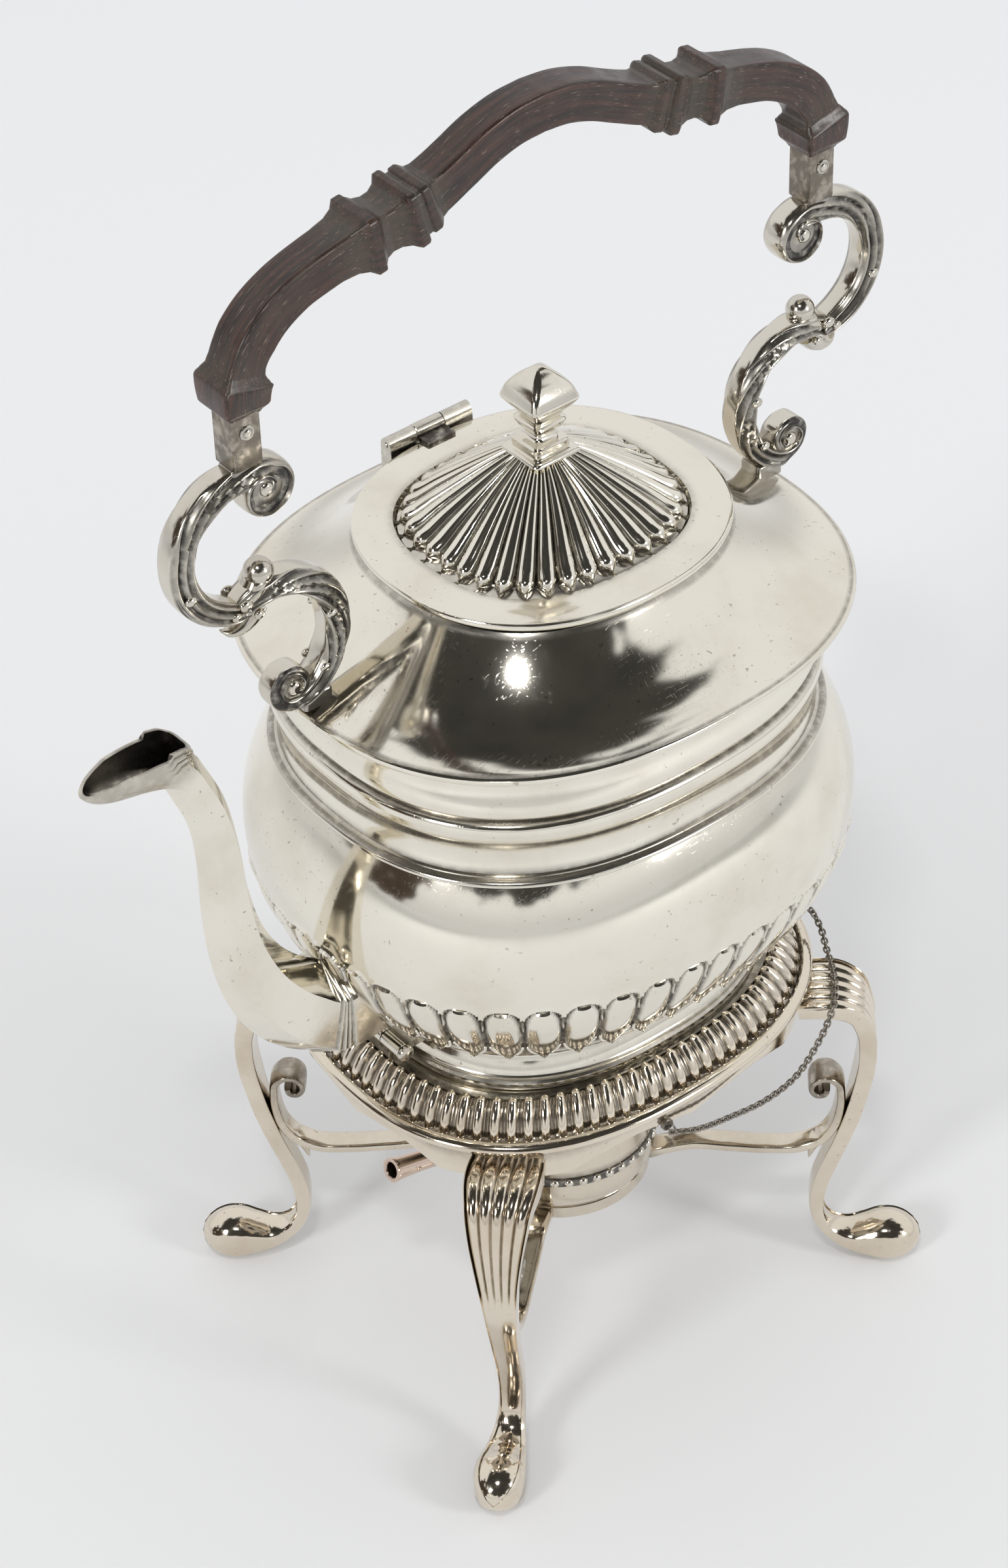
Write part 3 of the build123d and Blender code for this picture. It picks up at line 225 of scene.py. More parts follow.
def sweep_grid(line, section, angle=0.0, push=None):
    """A grid along rows of (distance, height, half thickness, half width).

    The rows lie in a vertical plane through the axis, at that angle in degrees.
    """
    steps = np.gradient(line[:, :2], axis=0)
    d = np.unwrap(np.arctan2(steps[:, 1], steps[:, 0]))[:, None]
    a = math.radians(angle)
    outwards = np.array([math.cos(a), math.sin(a), 0.0])
    sideways = np.array([-math.sin(a), math.cos(a), 0.0])
    up = np.array([0.0, 0.0, 1.0])
    middle = line[:, :1] * outwards + line[:, 1:2] * up
    across = up * np.cos(d) - outwards * np.sin(d)
    c, s = section[..., 0], section[..., 1]
    thick, broad = c * line[:, 2:3], s * line[:, 3:4]
    if push is not None:
        thick, broad = push(thick, broad, c, s)
    return middle[:, None] + thick[..., None] * across[:, None] + broad[..., None] * sideways


# ---------------------------------------------------------------- pieces
class Shape:
    """Points and faces of one piece, in millimetres from the kettle's axis."""

    def __init__(self):
        self.points, self.faces, self.marks, self.grains = [], [], [], []
        self.count = 0

    def add(self, grid, mark=0.0, caps=True, loop_rows=False, grain=None):
        """Joins a grid of points in rows that close round.

        mark is how far each point, or each row, lies in a recess; the silver finishes darken it
        there as tarnish and painted shade.
        """
        grid, mark = np.asarray(grid, float), np.asarray(mark, float)
        rows, cols = grid.shape[:2]
        index = self.count + np.arange(rows * cols).reshape(rows, cols)
        if loop_rows:
            index = np.vstack([index, index[:1]])
        nxt = np.roll(index, -1, 1)
        quads = np.stack([index[:-1], nxt[:-1], nxt[1:], index[1:]], -1)
        self.faces += quads.reshape(-1, 4).tolist()
        if caps and not loop_rows:
            self.faces += [index[0, ::-1].tolist(), index[-1].tolist()]
        self.points.append(grid.reshape(-1, 3))
        mark = mark[:, None] if mark.ndim == 1 else mark
        self.marks.append(np.broadcast_to(mark, (rows, cols)).reshape(-1))
        self.grains.append(np.reshape(grid if grain is None else grain, (-1, 3)))
        self.count += rows * cols
        return self

    def ball(self, centre, radius, rows=8, cols=12, squash=(1, 1, 1), mark=0.0):
        """Joins a ball, or an ellipsoid."""
        lat = np.linspace(-math.pi / 2 + 0.12, math.pi / 2 - 0.12, rows)[:, None]
        lon = circle(cols)[None, :]
        unit = np.stack(
            [np.cos(lat) * np.cos(lon), np.cos(lat) * np.sin(lon), np.sin(lat) + 0 * lon], -1)
        return self.add(np.asarray(centre) + unit * radius * np.asarray(squash), mark)

    def rod(self, start, end, radius, cols=28, mark=0.0, bevel=0.15):
        """Joins a round rod with softened ends."""
        way = np.subtract(end, start)
        length = np.linalg.norm(way)
        way = way / length
        side = np.cross(way, [0, 0, 1.0] if abs(way[2]) < 0.9 else [1.0, 0, 0])
        side /= np.linalg.norm(side)
        rows = [(0, radius - bevel), (bevel, radius), (length - bevel, radius),
                (length, radius - bevel)]
        return self.add(lathe(rows, cols, start, side, np.cross(way, side), way), mark)

    def block(self, low, high, bevel=0.25, mark=0.0):
        """Joins a box with softened upright edges."""
        low, high = np.asarray(low, float), np.asarray(high, float)
        middle, half = (low + high) / 2, (high - low) / 2
        ring = soft_box(half[0], half[1], bevel, 4)
        return self.add(stacked(ring, [(low[2], 1, 1), (high[2], 1, 1)], *middle[:2]), mark)

    def piece(self, node, body, finish, crease=32.0, name=None, ends=None):
        """Makes the object that dresses a CAD node and rides on its body.

        An object with a name of its own stands for no node. One with ends, such as a chain
        strung between two bodies, rides on neither: its points are baked into the frame.
        """
        points = np.concatenate(self.points)
        name = name or f"{node}_dressed"
        mesh = bpy.data.meshes.new(name)
        mesh.from_pydata(in_frame(points).tolist(), [], self.faces)
        mark = mesh.attributes.new("recess", "FLOAT", "POINT")
        mark.data.foreach_set("value", np.concatenate(self.marks).astype(np.float32))
        grain = mesh.attributes.new("grain", "FLOAT_VECTOR", "POINT")
        grain.data.foreach_set("vector", np.concatenate(self.grains).astype(np.float32).ravel())
        work = bmesh.new()
        work.from_mesh(mesh)
        bmesh.ops.recalc_face_normals(work, faces=work.faces)
        work.to_mesh(mesh)
        work.free()
        mesh.shade_smooth()
        mesh.set_sharp_from_angle(angle=math.radians(crease))
        obj = bpy.data.objects.new(name, mesh)
        bpy.context.scene.collection.objects.link(obj)
        slot, look = finishes[finish]
        mesh.materials.append(look)
        if ends:
            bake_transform(obj)
        else:
            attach(obj, body)
        if node:
            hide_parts(node)


def in_frame(points):
    """Millimetres from the kettle's axis as metres in the frame."""
    return points * 0.001 + np.array([centre_x, 0.0, 0.0])


# ---------------------------------------------------------------- materials
class Nodes:
    """Shorthand for building the nodes of a material or a world."""

    def __init__(self, owner, end="Principled BSDF"):
        owner.use_nodes = True
        self.owner, self.tree = owner, owner.node_tree
        self.shader = self.tree.nodes[end]

    def add(self, kind, links=None, **settings):
        node = self.tree.nodes.new(kind)
        for key, value in settings.items():
            setattr(node, key, value)
        for key, value in (links or {}).items():
            self.put(node.inputs[key], value)
        return node

    def put(self, socket, value):
        if isinstance(value, bpy.types.NodeSocket):
            self.tree.links.new(value, socket)
        else:
            socket.default_value = value

    def finish(self, **inputs):
        """Sets or links the shader's inputs; returns the material."""
        for name, value in inputs.items():
            self.put(self.shader.inputs[name.replace("_", " ")], value)
        return self.owner

    def mapped(self, vector, scale):
        return self.add("ShaderNodeMapping", {"Vector": vector, "Scale": scale}).outputs["Vector"]

    def coordinates(self, scale=(1, 1, 1)):
        return self.mapped(self.add("ShaderNodeTexCoord").outputs["Object"], scale)

    def noise(self, at, scale, detail=4.0, rough=0.55, distortion=0.0, output="Fac"):
        return self.add("ShaderNodeTexNoise", {
            "Vector": at, "Scale": scale, "Detail": detail, "Roughness": rough,
            "Distortion": distortion}).outputs[output]

    def steps(self, value, low, high, to_low=0.0, to_high=1.0):
        return self.add("ShaderNodeMapRange", {
            "Value": value, "From Min": low, "From Max": high, "To Min": to_low,
            "To Max": to_high}, interpolation_type="SMOOTHSTEP").outputs["Result"]

    def math(self, operation, a, b=0.0):
        return self.add("ShaderNodeMath", {0: a, 1: b}, operation=operation).outputs[0]

    def vector(self, operation, a, b=(0, 0, 0), output="Vector"):
        return self.add("ShaderNodeVectorMath", {0: a, 1: b}, operation=operation).outputs[output]

    def mix(self, share, a, b):
        links = {0: share, 6: a, 7: b}
        return self.add("ShaderNodeMix", links, data_type="RGBA").outputs[2]

    def layer(self, share, most, colour, over):
        """A colour laid over another, up to a share of most."""
        return self.mix(self.math("MULTIPLY", share, most), over, colour)

    def attribute(self, name, output="Fac"):
        return self.add("ShaderNodeAttribute", attribute_name=name).outputs[output]

    def bump(self, height, distance, strength=1.0, normal=None):
        links = {"Height": height, "Distance": distance, "Strength": strength}
        if normal is not None:
            links["Normal"] = normal
        return self.add("ShaderNodeBump", links).outputs["Normal"]


def material(name):
    return Nodes(bpy.data.materials.new(name))


def silver(name, base, cloud, tarnish_shade_colour, roughness=0.09, spots=0.5):
    """Polished old silver: cloudy film, scratches, specks, and tarnish with painted shade in its
    recesses.
    """
    n = material(name)
    at = n.coordinates()
    film = n.steps(n.noise(at, 38.0, 5.0, 0.6), 0.42, 0.74)
    patches = n.steps(n.noise(at, 160.0, 3.0, 0.5), 0.60, 0.78)
    specks = n.steps(n.noise(at, 900.0, 1.0, 0.4), 0.70, 0.76)
    specks = n.math("MULTIPLY", specks, n.steps(n.noise(at, 50.0, 2.0), 0.45, 0.62))
    # The recess mark darkens the colour and dulls the finish: real tarnish in hollows, plus
    # painted shade where less light reaches.
    recess = n.attribute("recess")
    tarnish_and_shade = n.math("MULTIPLY", recess, n.steps(n.noise(at, 420.0, 3.0), 0.25, 0.6, 0.55, 1.0))
    colour = n.layer(film, 0.55, (*cloud, 1), (*base, 1))
    colour = n.layer(specks, spots, (0.16, 0.13, 0.09, 1), colour)
    rough = n.steps(film, 0.0, 1.0, roughness, roughness + 0.03)
    for film_part, more in ((tarnish_and_shade, 0.26), (patches, 0.03)):
        rough = n.math("ADD", rough, n.math("MULTIPLY", film_part, more))
    scratch_a = n.noise(n.coordinates((1.0, 9.0, 3.0)), 260.0, 2.0, 0.5)
    scratch_b = n.noise(n.coordinates((7.0, 1.2, 5.0)), 220.0, 2.0, 0.5)
    lines = n.math("ADD", n.steps(scratch_a, 0.63, 0.66), n.steps(scratch_b, 0.64, 0.67))
    ripple = n.bump(n.noise(at, 70.0, 2.0, 0.4), 0.00003)
    return n.finish(Base_Color=n.mix(tarnish_and_shade, colour, (*tarnish_shade_colour, 1)), Metallic=1.0, Roughness=rough,
                    Normal=n.bump(lines, -0.000003, 0.7, ripple))


def rosewood():
    """Carved rosewood: dark brown with a straight grain, pale pores and grey wear."""
    n = material("rosewood")
    grain = n.attribute("grain", "Vector")
    bands = n.noise(n.mapped(grain, (0.05, 1.0, 1.0)), 0.9, 6.0, 0.65, 0.4)
    pores = n.steps(n.noise(n.mapped(grain, (0.22, 2.6, 2.6)), 1.5, 2.0, 0.5), 0.64, 0.70)
    wear = n.steps(n.noise(grain, 0.16, 4.0, 0.6), 0.44, 0.72)
    colour = n.mix(n.steps(bands, 0.36, 0.66), (0.010, 0.0045, 0.0035, 1),
                   (0.056, 0.021, 0.013, 1))
    colour = n.layer(wear, 0.30, (0.070, 0.050, 0.038, 1), colour)
    colour = n.layer(n.attribute("recess"), 0.65, (0.066, 0.060, 0.046, 1), colour)
    colour = n.layer(pores, 0.6, (0.30, 0.24, 0.19, 1), colour)
    height = n.math("SUBTRACT", n.math("MULTIPLY", bands, 0.6), pores)
    return n.finish(Base_Color=colour, Roughness=n.steps(wear, 0, 1, 0.30, 0.46),
                    Coat_Weight=0.12, Coat_Roughness=0.22, Normal=n.bump(height, 0.00012, 0.7))


def cotton():
    """Scorched cotton wick."""
    n = material("wick_cotton")
    fibres = n.noise(n.coordinates((1, 1, 0.25)), 1500.0, 3.0, 0.6)
    height = n.add("ShaderNodeSeparateXYZ", {0: n.coordinates()}).outputs["Z"]
    colour = n.mix(n.steps(fibres, 0.3, 0.7), (0.46, 0.41, 0.32, 1), (0.74, 0.69, 0.58, 1))
    colour = n.mix(n.steps(height, 0.0735, 0.0765), colour, (0.025, 0.021, 0.019, 1))
    return n.finish(Base_Color=colour, Roughness=0.95, Normal=n.bump(fibres, 0.0004))


# Slot and material of each finish
finishes = {
    "plate": ("silver", silver("plate_silver", (0.87, 0.83, 0.735), (0.70, 0.64, 0.53),
                               (0.09, 0.078, 0.068))),
    "stand": ("silver", silver("stand_silver", (0.80, 0.725, 0.61), (0.60, 0.50, 0.385),
                               (0.075, 0.062, 0.05), 0.10)),
    "cast": ("silver", silver("cast_silver", (0.72, 0.68, 0.60), (0.52, 0.46, 0.37),
                              (0.065, 0.062, 0.06), 0.12, 0.3)),
    "warm": ("warm_silver", silver("warm_silver", (0.70, 0.56, 0.47), (0.50, 0.36, 0.28),
                                   (0.10, 0.06, 0.045), 0.13)),
    "dark": ("dark_silver", silver("dark_silver", (0.34, 0.31, 0.27), (0.20, 0.18, 0.15),
                                   (0.05, 0.045, 0.04), 0.27)),
    "wood": ("rosewood", rosewood()),
    "wick": ("wick_cotton", cotton()),
}


# ---------------------------------------------------------------- kettle body
def belly_at(z):
    """Half length in X of the belly at height z."""
    high = np.clip((z - belly_mid_z) / (belly_top_z - belly_mid_z), 0, None)
    low = np.clip((belly_mid_z - z) / (belly_mid_z - belly_low_z), 0, None)
    return (belly_half - (belly_half - belly_top_half) * high**2.2
            - (belly_half - belly_low_half) * low**2)


belly_angles = even_angles(belly_lobes * lobe_cols, 68.0, 61.0)
lobe_rows = np.linspace(belly_low_z, lobe_top_z + 1.6, 54)
upper_rows = np.linspace(lobe_top_z + 1.6, belly_top_z - 0.6, 40)[1:]
under = smooth([(119.5, 48.7), (121.6, 53.0), (124.0, 57.0), (127.0, belly_low_half)], 14)[:-1]
belly_rows = np.concatenate([under, np.column_stack([lobe_rows, belly_at(lobe_rows)]),
                             np.column_stack([upper_rows, belly_at(upper_rows)])])
shoulder_rows = profile(
    (belly_top_z - 0.6, 65.1),
    (5, [(belly_top_z + 0.1, 64.9), (belly_top_z + 0.6, 64.2)]),
    (6, [(belly_top_z + 0.8, 63.2), (belly_top_z + 1.2, 62.6)]),
    (16, [(188.0, 61.9), (192.0, 62.3), (195.6, 63.5), (197.6, 64.0)]),
    (8, [(199.0, 63.8), (199.9, 63.0), (200.2, 62.3)]),
    (18, [(202.6, 63.0), (205.0, 62.5), (208.4, 61.6), (211.4, 62.0), (214.0, 64.0),
          (215.9, 66.4), (217.3, 68.6)]))
outer_rows = np.concatenate([belly_rows, shoulder_rows])

# Gadroon lobes round the belly's lower half: tongues with a bright lip over each
height = outer_rows[:, :1]
t = (height - lobe_base_z) / (lobe_top_z - lobe_base_z)
aside = np.abs(phases(belly_angles, lobe_cols))
bend = np.where(t < 0.5, 2.3, 3.4)
lobe_width = 0.46 * (1 - np.clip(np.abs(2 * t - 1), 0, 1) ** bend) ** (1 / bend) + 1e-4
away = aside / lobe_width
crown = np.sqrt(1 - np.minimum(away, 1) ** 2.4) * ((t > 0) & (t < 1))
arch = 0.535 + 0.5 * (1 - np.clip(2 * aside, 0, 0.995) ** 3.4) ** (1 / 3.4)
trough = ramp(t, -0.04, 0.06) * (1 - ramp(t - arch, -0.05, 0.0))
lip = peak(t - arch - 0.015, 0.026) * (t > 0.6)
lift = np.where(np.abs(t) < 1.5, lobe_crown * crown - lobe_trough * trough + lobe_lip * lip, 0.0)
seam = peak(height - 185.0, 0.9) + peak(height - 200.2, 0.5)
# belly_mark gives darker silver to the gaps between lobes, the shoulder seams and the underside:
# tarnish with painted shade.
belly_mark = trough * np.clip(5.0 * (away - 0.77), 0, 1)
belly_mark = np.clip(belly_mark + 0.8 * seam + 0.2 * (height < belly_low_z), 0, 1)

body = Shape().add(raised(rings(belly_angles, outer_rows, kettle_step), lift), belly_mark,
                   caps=False)
inside_rows = np.concatenate([belly_rows[::3], shoulder_rows[::3]])
inside_rows = np.column_stack([inside_rows[:, 0] + 0.6,
                               np.minimum(inside_rows[:, 1] - 1.3, 70.6)])
# The kettle's inside and floor are marked as darker silver: painted shade inside the pot, with
# tarnish.
body.add(rings(belly_angles[::6], inside_rows, kettle_step), 0.35, caps=False)
floor_rows = [(119.5, 48.7), (120.6, 47.0), (120.8, 30.0), (120.8, 2.0)]
body.add(rings(belly_angles[::6], floor_rows, kettle_step * np.array([1, 1, 0.7, 0.05])), 0.5,
         caps=False)
body.piece("kettle_body", "kettle", "plate")

# Fine beads along the lower end of each lobe
end_turn = np.radians(np.linspace(205, 335, 90))
bead_path = np.column_stack([
    0.465 * np.sign(np.cos(end_turn)) * np.abs(np.cos(end_turn)) ** 0.87,
    0.5 - 0.52 * np.abs(np.sin(end_turn)) ** 0.87])
bead_run = run_along(bead_path * (6.9, lobe_top_z - belly_low_z))
bead_places = places(bead_path, bead_run, np.linspace(0, bead_run[-1], lobe_beads))
closed_angles = np.append(belly_angles, belly_angles[0] + 2 * math.pi)
beads = Shape()
for lobe in range(belly_lobes):
    for across, up in bead_places:
        z = lobe_base_z + (lobe_top_z - lobe_base_z) * up
        column = (lobe + 0.5 + across) * lobe_cols % len(belly_angles)
        half = belly_at(z) - 0.25
        x, y = outline(np.interp(column, np.arange(len(closed_angles)), closed_angles),
                       half, half - kettle_step)
        beads.ball((x, y, z), bead_radius, rows=5, cols=7)
beads.piece(None, "kettle", "plate", crease=80, name="belly_beads")

# ---------------------------------------------------------------- top plate and hinge box
edge_rows = smooth([(217.2, 66.5), (217.1, 69.2), (217.5, 70.3), (218.3, 70.55), (219.0, 70.3),
                    (219.25, 69.6)], 14)
share = np.linspace(0, 1, 46)
plate_rows = np.column_stack([
    flange_top_z + (collar_z - flange_top_z) * (0.30 * share + 0.70 * share**2),
    flange_half - (flange_half - collar_half) * share])
plate_rows = plate_rows[plate_rows[:, 1] < 69.2]
top_rows = np.concatenate([edge_rows, plate_rows[:-1], [
    (collar_z - 0.25, collar_half), (collar_z, collar_half - 0.4),
    (collar_z, opening_half + 0.3), (collar_z - 0.3, opening_half),
    (collar_z - 2.2, opening_half), (229.5, opening_half + 6.0), (222.0, 54.0), (217.2, 66.5)]])
reach = np.clip((flange_half - top_rows[:, 1]) / (flange_half - collar_half), 0, 1)
collar_row = len(edge_rows) + len(plate_rows)
plate_mark = np.zeros(len(top_rows))
plate_mark[[0, len(edge_rows) - 1]] = 0.6
plate_mark[collar_row - 3 : collar_row + 2] = 0.5
plate = Shape().add(
    rings(even_angles(480, 60.0, 54.0), top_rows, kettle_step + (lid_step - kettle_step) * reach,
          power - 0.15 * reach), plate_mark, caps=False)


def prism(side, stops):
    """A grid of one outline in Y and Z at each X of the stops."""
    return [[(x, y, z) for y, z in side] for x in stops]


box_side = [
    (39.6, collar_z - 2.4), (40.2, 236.2), (44.3, 231.4), (44.3, 241.2), (43.9, 242.1),
    (43.1, 242.9), (42.4, 243.1), (41.6, 242.9), (40.9, 242.1), (40.5, 241.2), (40.5, 238.4)]
box_slot = [(40.35, 240.2), (40.6, 240.2), (40.6, 236.8), (40.35, 236.8)]
for x0, x1 in ((-box_half, -box_gap), (box_gap, box_half)):
    plate.add(prism(box_side, (x0, x0 + 0.2, x1 - 0.2, x1)), 0.35)
    plate.add(prism(box_slot, (x0 + 0.05, x1 - 0.05)), 0.75)
plate.add(prism([(40.5, 238.4), (40.5, 234.4), (44.3, 231.4), (44.3, 238.4)],
                (-box_gap, box_gap)), 0.6)
plate.piece("top_plate", "kettle", "plate")
pin_end = box_half + 0.25
Shape().rod((-pin_end, lid_hinge_y, lid_hinge_z), (pin_end, lid_hinge_y, lid_hinge_z), 0.8,
            mark=0.2).piece("lid_hinge_pin", "kettle", "cast")

# ---------------------------------------------------------------- lid and finial
lid_angles = even_angles(dome_lobes * dome_cols, dome_half, dome_half - lid_step, 2.5)
lid_flange_rows = profile(
    (lid_z, 41.9),
    (6, [(lid_z + 0.2, 42.6), (lid_z + 0.7, lid_half)]),
    (6, [(lid_z + 1.5, 42.6), (lid_z + 1.75, 41.9)]),
    (12, [(lid_z + 1.95, 38.5), (lid_z + 1.9, 32.6)]))
share = 1 - np.linspace(0.001, 0.895, 64) ** 1.35
tent = dome_height * (1 - share**1.4)
bulb = 1.25 * (1 - np.exp((share - 1) / 0.03)) * peak(1 - share, 0.36)
dome_rows = np.column_stack([lid_z + lid_thickness + tent + bulb, dome_half * share])
lid_rows = np.concatenate([lid_flange_rows, dome_rows])
lid_power = np.interp(lid_rows[:, 1], [7, 24, 32, 36, 43], [2.3, 2.55, 2.55, 2.35, 2.25])
phase = np.abs(phases(lid_angles, dome_cols)) * 2
size = lid_rows[:, 1:]
over = lid_rows[:, :1] - lid_z - lid_thickness
in_dome = size < dome_half - 0.001
away = phase / (dome(1 - (over - 0.1) / 2.6) * 0.93 + 1e-3)
deep = 0.45 + 1.6 * np.clip(size / dome_half, 0, 1) ** 1.1
swell = 0.55 * peak(over - 2.3, 1.2) * dome(away)
lift = ((dome(away) - 1.0) * deep + swell - 0.25) * in_dome
# lid_mark darkens the troughs between flutes and the foot of the dome: tarnish with painted shade.
lid_mark = in_dome * np.clip(2.2 * (away - 0.68), 0, 1)
lid_mark = np.clip(lid_mark + 0.42 * peak(size - dome_half - 1.0, 1.3), 0, 1)
lid_steps = lid_step * np.minimum(lid_rows[:, 1] / dome_half, 1)
lid = Shape().add(raised(rings(lid_angles, lid_rows, lid_steps, lid_power), lift), lid_mark,
                  caps=False)
bezel = opening_half - 0.6
lid.add(rings(lid_angles[::6], [
    (lid_z, 41.9), (lid_z, bezel), (lid_z - 4.8, bezel), (lid_z - 5.0, bezel - 0.3),
    (lid_z - 5.0, bezel - 0.9), (lid_z - 4.6, bezel - 1.2), (lid_z + 1.0, bezel - 1.2),
    *[(z - 2.2, half - 2.2) for z, half in dome_rows[8::8]]], lid_step), 0.35)
lid.rod((-lid_hinge_half, lid_hinge_y, lid_hinge_z), (lid_hinge_half, lid_hinge_y, lid_hinge_z),
        lid_hinge_r, mark=0.25)
# The hinge blocks under the lid are marked fully dark: painted shade.
for y0, y1, top in ((36.5, 42.0, lid_z + 2.6), (40.45, 40.9, lid_hinge_z)):
    lid.block((-lid_hinge_half, y0, lid_z + 1.4), (lid_hinge_half, y1, top), mark=1.0)
lid.piece("lid", "kettle_lid", "plate")

# The finial's rows are (height over finial_z, half width)
finial_rows = profile(
    (-0.2, 6.7),
    (5, [(0.4, 6.5), (0.7, 5.6)]), (3, [(1.0, 5.0)]), (4, [(2.8, 5.05)]), (4, [(3.3, 4.5)]),
    (10, [(3.8, 3.1), (4.7, 2.65), (5.8, 3.0), (6.6, 4.0)]),
    (4, [(8.2, 4.7)]), (4, [(8.6, 4.4), (9.0, 3.6)]),
    (10, [(10.3, 4.2), (12.2, 5.7), (13.2, 6.4)]),
    (8, [(13.9, 6.7), (14.6, 6.55)]),
    (20, [(16.5, 5.85), (18.5, 4.5), (20.1, 2.9), (21.2, 1.3), (21.65, 0.15)]))
Shape().add(np.concatenate([
    stacked(soft_box(half, half, min(1.5, half * 0.45), 10), [(finial_z + up, 1, 1)])
    for up, half in finial_rows]), 0.08).piece("finial", "kettle_lid", "plate", crease=50)
Shape().add(lathe([(finial_z - 3.4, 2.8), (finial_z - 3.2, 3.2), (finial_z - 1.6, 3.2),
                   (finial_z - 1.4, 2.8)], 6), 0.4).piece(
    "finial_nut", "kettle_lid", "cast", crease=20)

# ---------------------------------------------------------------- foot ring
foot_rows = profile(
    (106.15, 50.2),
    (4, [(106.4, 50.7), (106.9, 51.0)]), (4, [(108.4, 51.0), (109.0, 50.4)]),
    (4, [(109.15, 49.7), (109.7, 49.3)]),
    (14, [(111.6, 48.7), (114.0, 47.5), (116.6, 47.2), (119.0, 48.3), (119.9, 49.2)]),
    (3, [(119.6, 46.6)]), (8, [(114.0, 45.9), (109.6, 48.0), (106.2, 49.2), (106.15, 50.2)]))
foot = Shape().add(
    rings(even_angles(288, 48.0, 41.0), foot_rows, kettle_step),
    np.interp(foot_rows[:, 0], [106, 109.2, 110, 119, 120], [0.3, 0.5, 0.1, 0.1, 0.6]),
    caps=False)


def knuckles(shape, rows, web_x, low_z, high_z, mark):
    """Joins hinge tubes along Y, from rows of (x, start, end), and their webs.

    The webs run from the tubes to a distance web_x from the axis.
    """
    for x, y0, y1 in rows:
        shape.rod((x, y0, hinge_z), (x, y1, hinge_z), knuckle_r, mark=0.15)
        x0, x1 = sorted((x - math.copysign(0.7, x), math.copysign(web_x, x)))
        shape.block((x0, y0, low_z), (x1, y1, high_z), mark=mark)


knuckles(foot, [(-hinge_x, 3.3, 10.0), (-hinge_x, -10.0, -3.3), (hinge_x, -3.0, 3.0)],
         47.3, hinge_z - 0.2, hinge_z + 1.8, 0.4)
foot.piece("foot_ring", "kettle", "plate")

# ---------------------------------------------------------------- spout
# Rows of (x, z, direction in degrees, half height, half width)
spout_stations = np.array([
    (-61.6, 131.7, 198.0, 14.2, 12.0), (-69.6, 130.6, 176.0, 13.4, 11.0),
    (-79.0, 137.5, 142.0, 11.4, 9.8), (-86.6, 148.0, 121.0, 9.4, 8.6),
    (-91.6, 161.5, 103.0, 7.6, 7.4), (-93.8, 176.0, 93.0, 6.5, 6.4),
    (-94.5, 191.0, 94.0, 5.7, 5.7), (-96.4, 204.0, 105.0, 5.2, 5.3),
    (-101.4, 217.2, 119.0, 5.0, 5.3)])


def hexagon(station, angles, grow):
    """A softened hexagon square to the spout's line."""
    x, z, direction, tall, wide = station
    d = math.radians(direction)
    wedge = np.mod(angles, math.pi / 3) - math.pi / 6
    soft = (math.cos(math.pi / 6) / np.cos(wedge)) ** 0.92
    return (np.array([x, 0, z])
            + (np.cos(angles) * soft * (tall + grow))[:, None] * [-math.sin(d), 0, math.cos(d)]
            + (np.sin(angles) * soft * (wide + grow))[:, None] * [0, 1.0, 0])


def scoop_rim(angles, inset):
    """The mouth's rim, a rounded tongue with a raised square hood at its back."""
    c, s = np.cos(angles), np.sin(angles)
    tip = c > 0
    along = np.sign(c) * np.abs(c) ** np.where(tip, 1.0, 0.50)
    side = np.sign(s) * np.abs(s) ** np.where(tip, 0.90, 0.42)
    x = -112.0 - (np.where(tip, 15.4, 11.6) - inset) * along
    y = (5.7 - inset) * side * np.interp(x, [-127, -118, -108, -100], [0.94, 0.98, 1.0, 0.92])
    z = np.interp(x, [-127.4, -124, -118, -110, -107.7, -107.2, -104.0, -100.4],
                  [224.7, 226.2, 227.6, 227.7, 227.4, 229.0, 228.6, 226.6])
    return np.column_stack([x, y, z])


def hood(rim_x):
    """1 at the hood on the back of the mouth, 0 before it."""
    return ramp(rim_x, -109.5, -106.8)


def spout_grid(inset, cols=120):
    """Softened hexagons up the neck, then a scoop that opens to the mouth's rim."""
    a = circle(cols)
    grid = [hexagon(station, a, -inset) for station in smooth(spout_stations, neck_rows)]
    rim_line, base = scoop_rim(a, inset), grid[-1]
    leave = (grid[-1] - grid[-4]) / np.linalg.norm(grid[-1] - grid[-4], axis=1)[:, None]
    span = np.linalg.norm(rim_line - base, axis=1)[:, None]
    arrive = np.column_stack([np.interp(rim_line[:, 0], [-127, -101], [-0.55, 0.05]),
                              0 * a, np.full(cols, 0.9)])
    for t in np.linspace(0, 1, mouth_rows)[1:]:
        row = hermite(t, base, span * leave * 0.9, rim_line, span * arrive)
        if inset == 0:
            bump = 0.40 * sum(peak(t - at, 0.035) for at in (0.66, 0.80))
            out = row - row.mean(0)
            out /= np.linalg.norm(out, axis=1)[:, None]
            row = row + out * (bump * hood(rim_line[:, 0]))[:, None]
        grid.append(row)
    return np.array(grid)


neck, bore = spout_grid(0.0), spout_grid(1.0)
count = np.arange(len(neck))[:, None]
neck_mark = 0.4 * peak(count, 9) + 0.38 * ramp(count, 88, 104)
for groove in (0.60, 0.73, 0.87):
    behind = count - (neck_rows - 1) - mouth_rows * groove
    neck_mark = neck_mark + 0.6 * peak(behind, 0.7) * hood(neck[-1, :, 0])
# bore_mark makes the inside of the spout darker further in: painted shade, with tarnish.
bore_mark = np.interp(bore[::-1, :, 0], [-127, -116, -106], [0.42, 0.75, 1.0])
Shape().add(np.concatenate([neck, bore[::-1]]),
            np.concatenate([np.clip(neck_mark, 0, 1), bore_mark]), caps=False).piece(
    "spout", "kettle", "plate", crease=38)

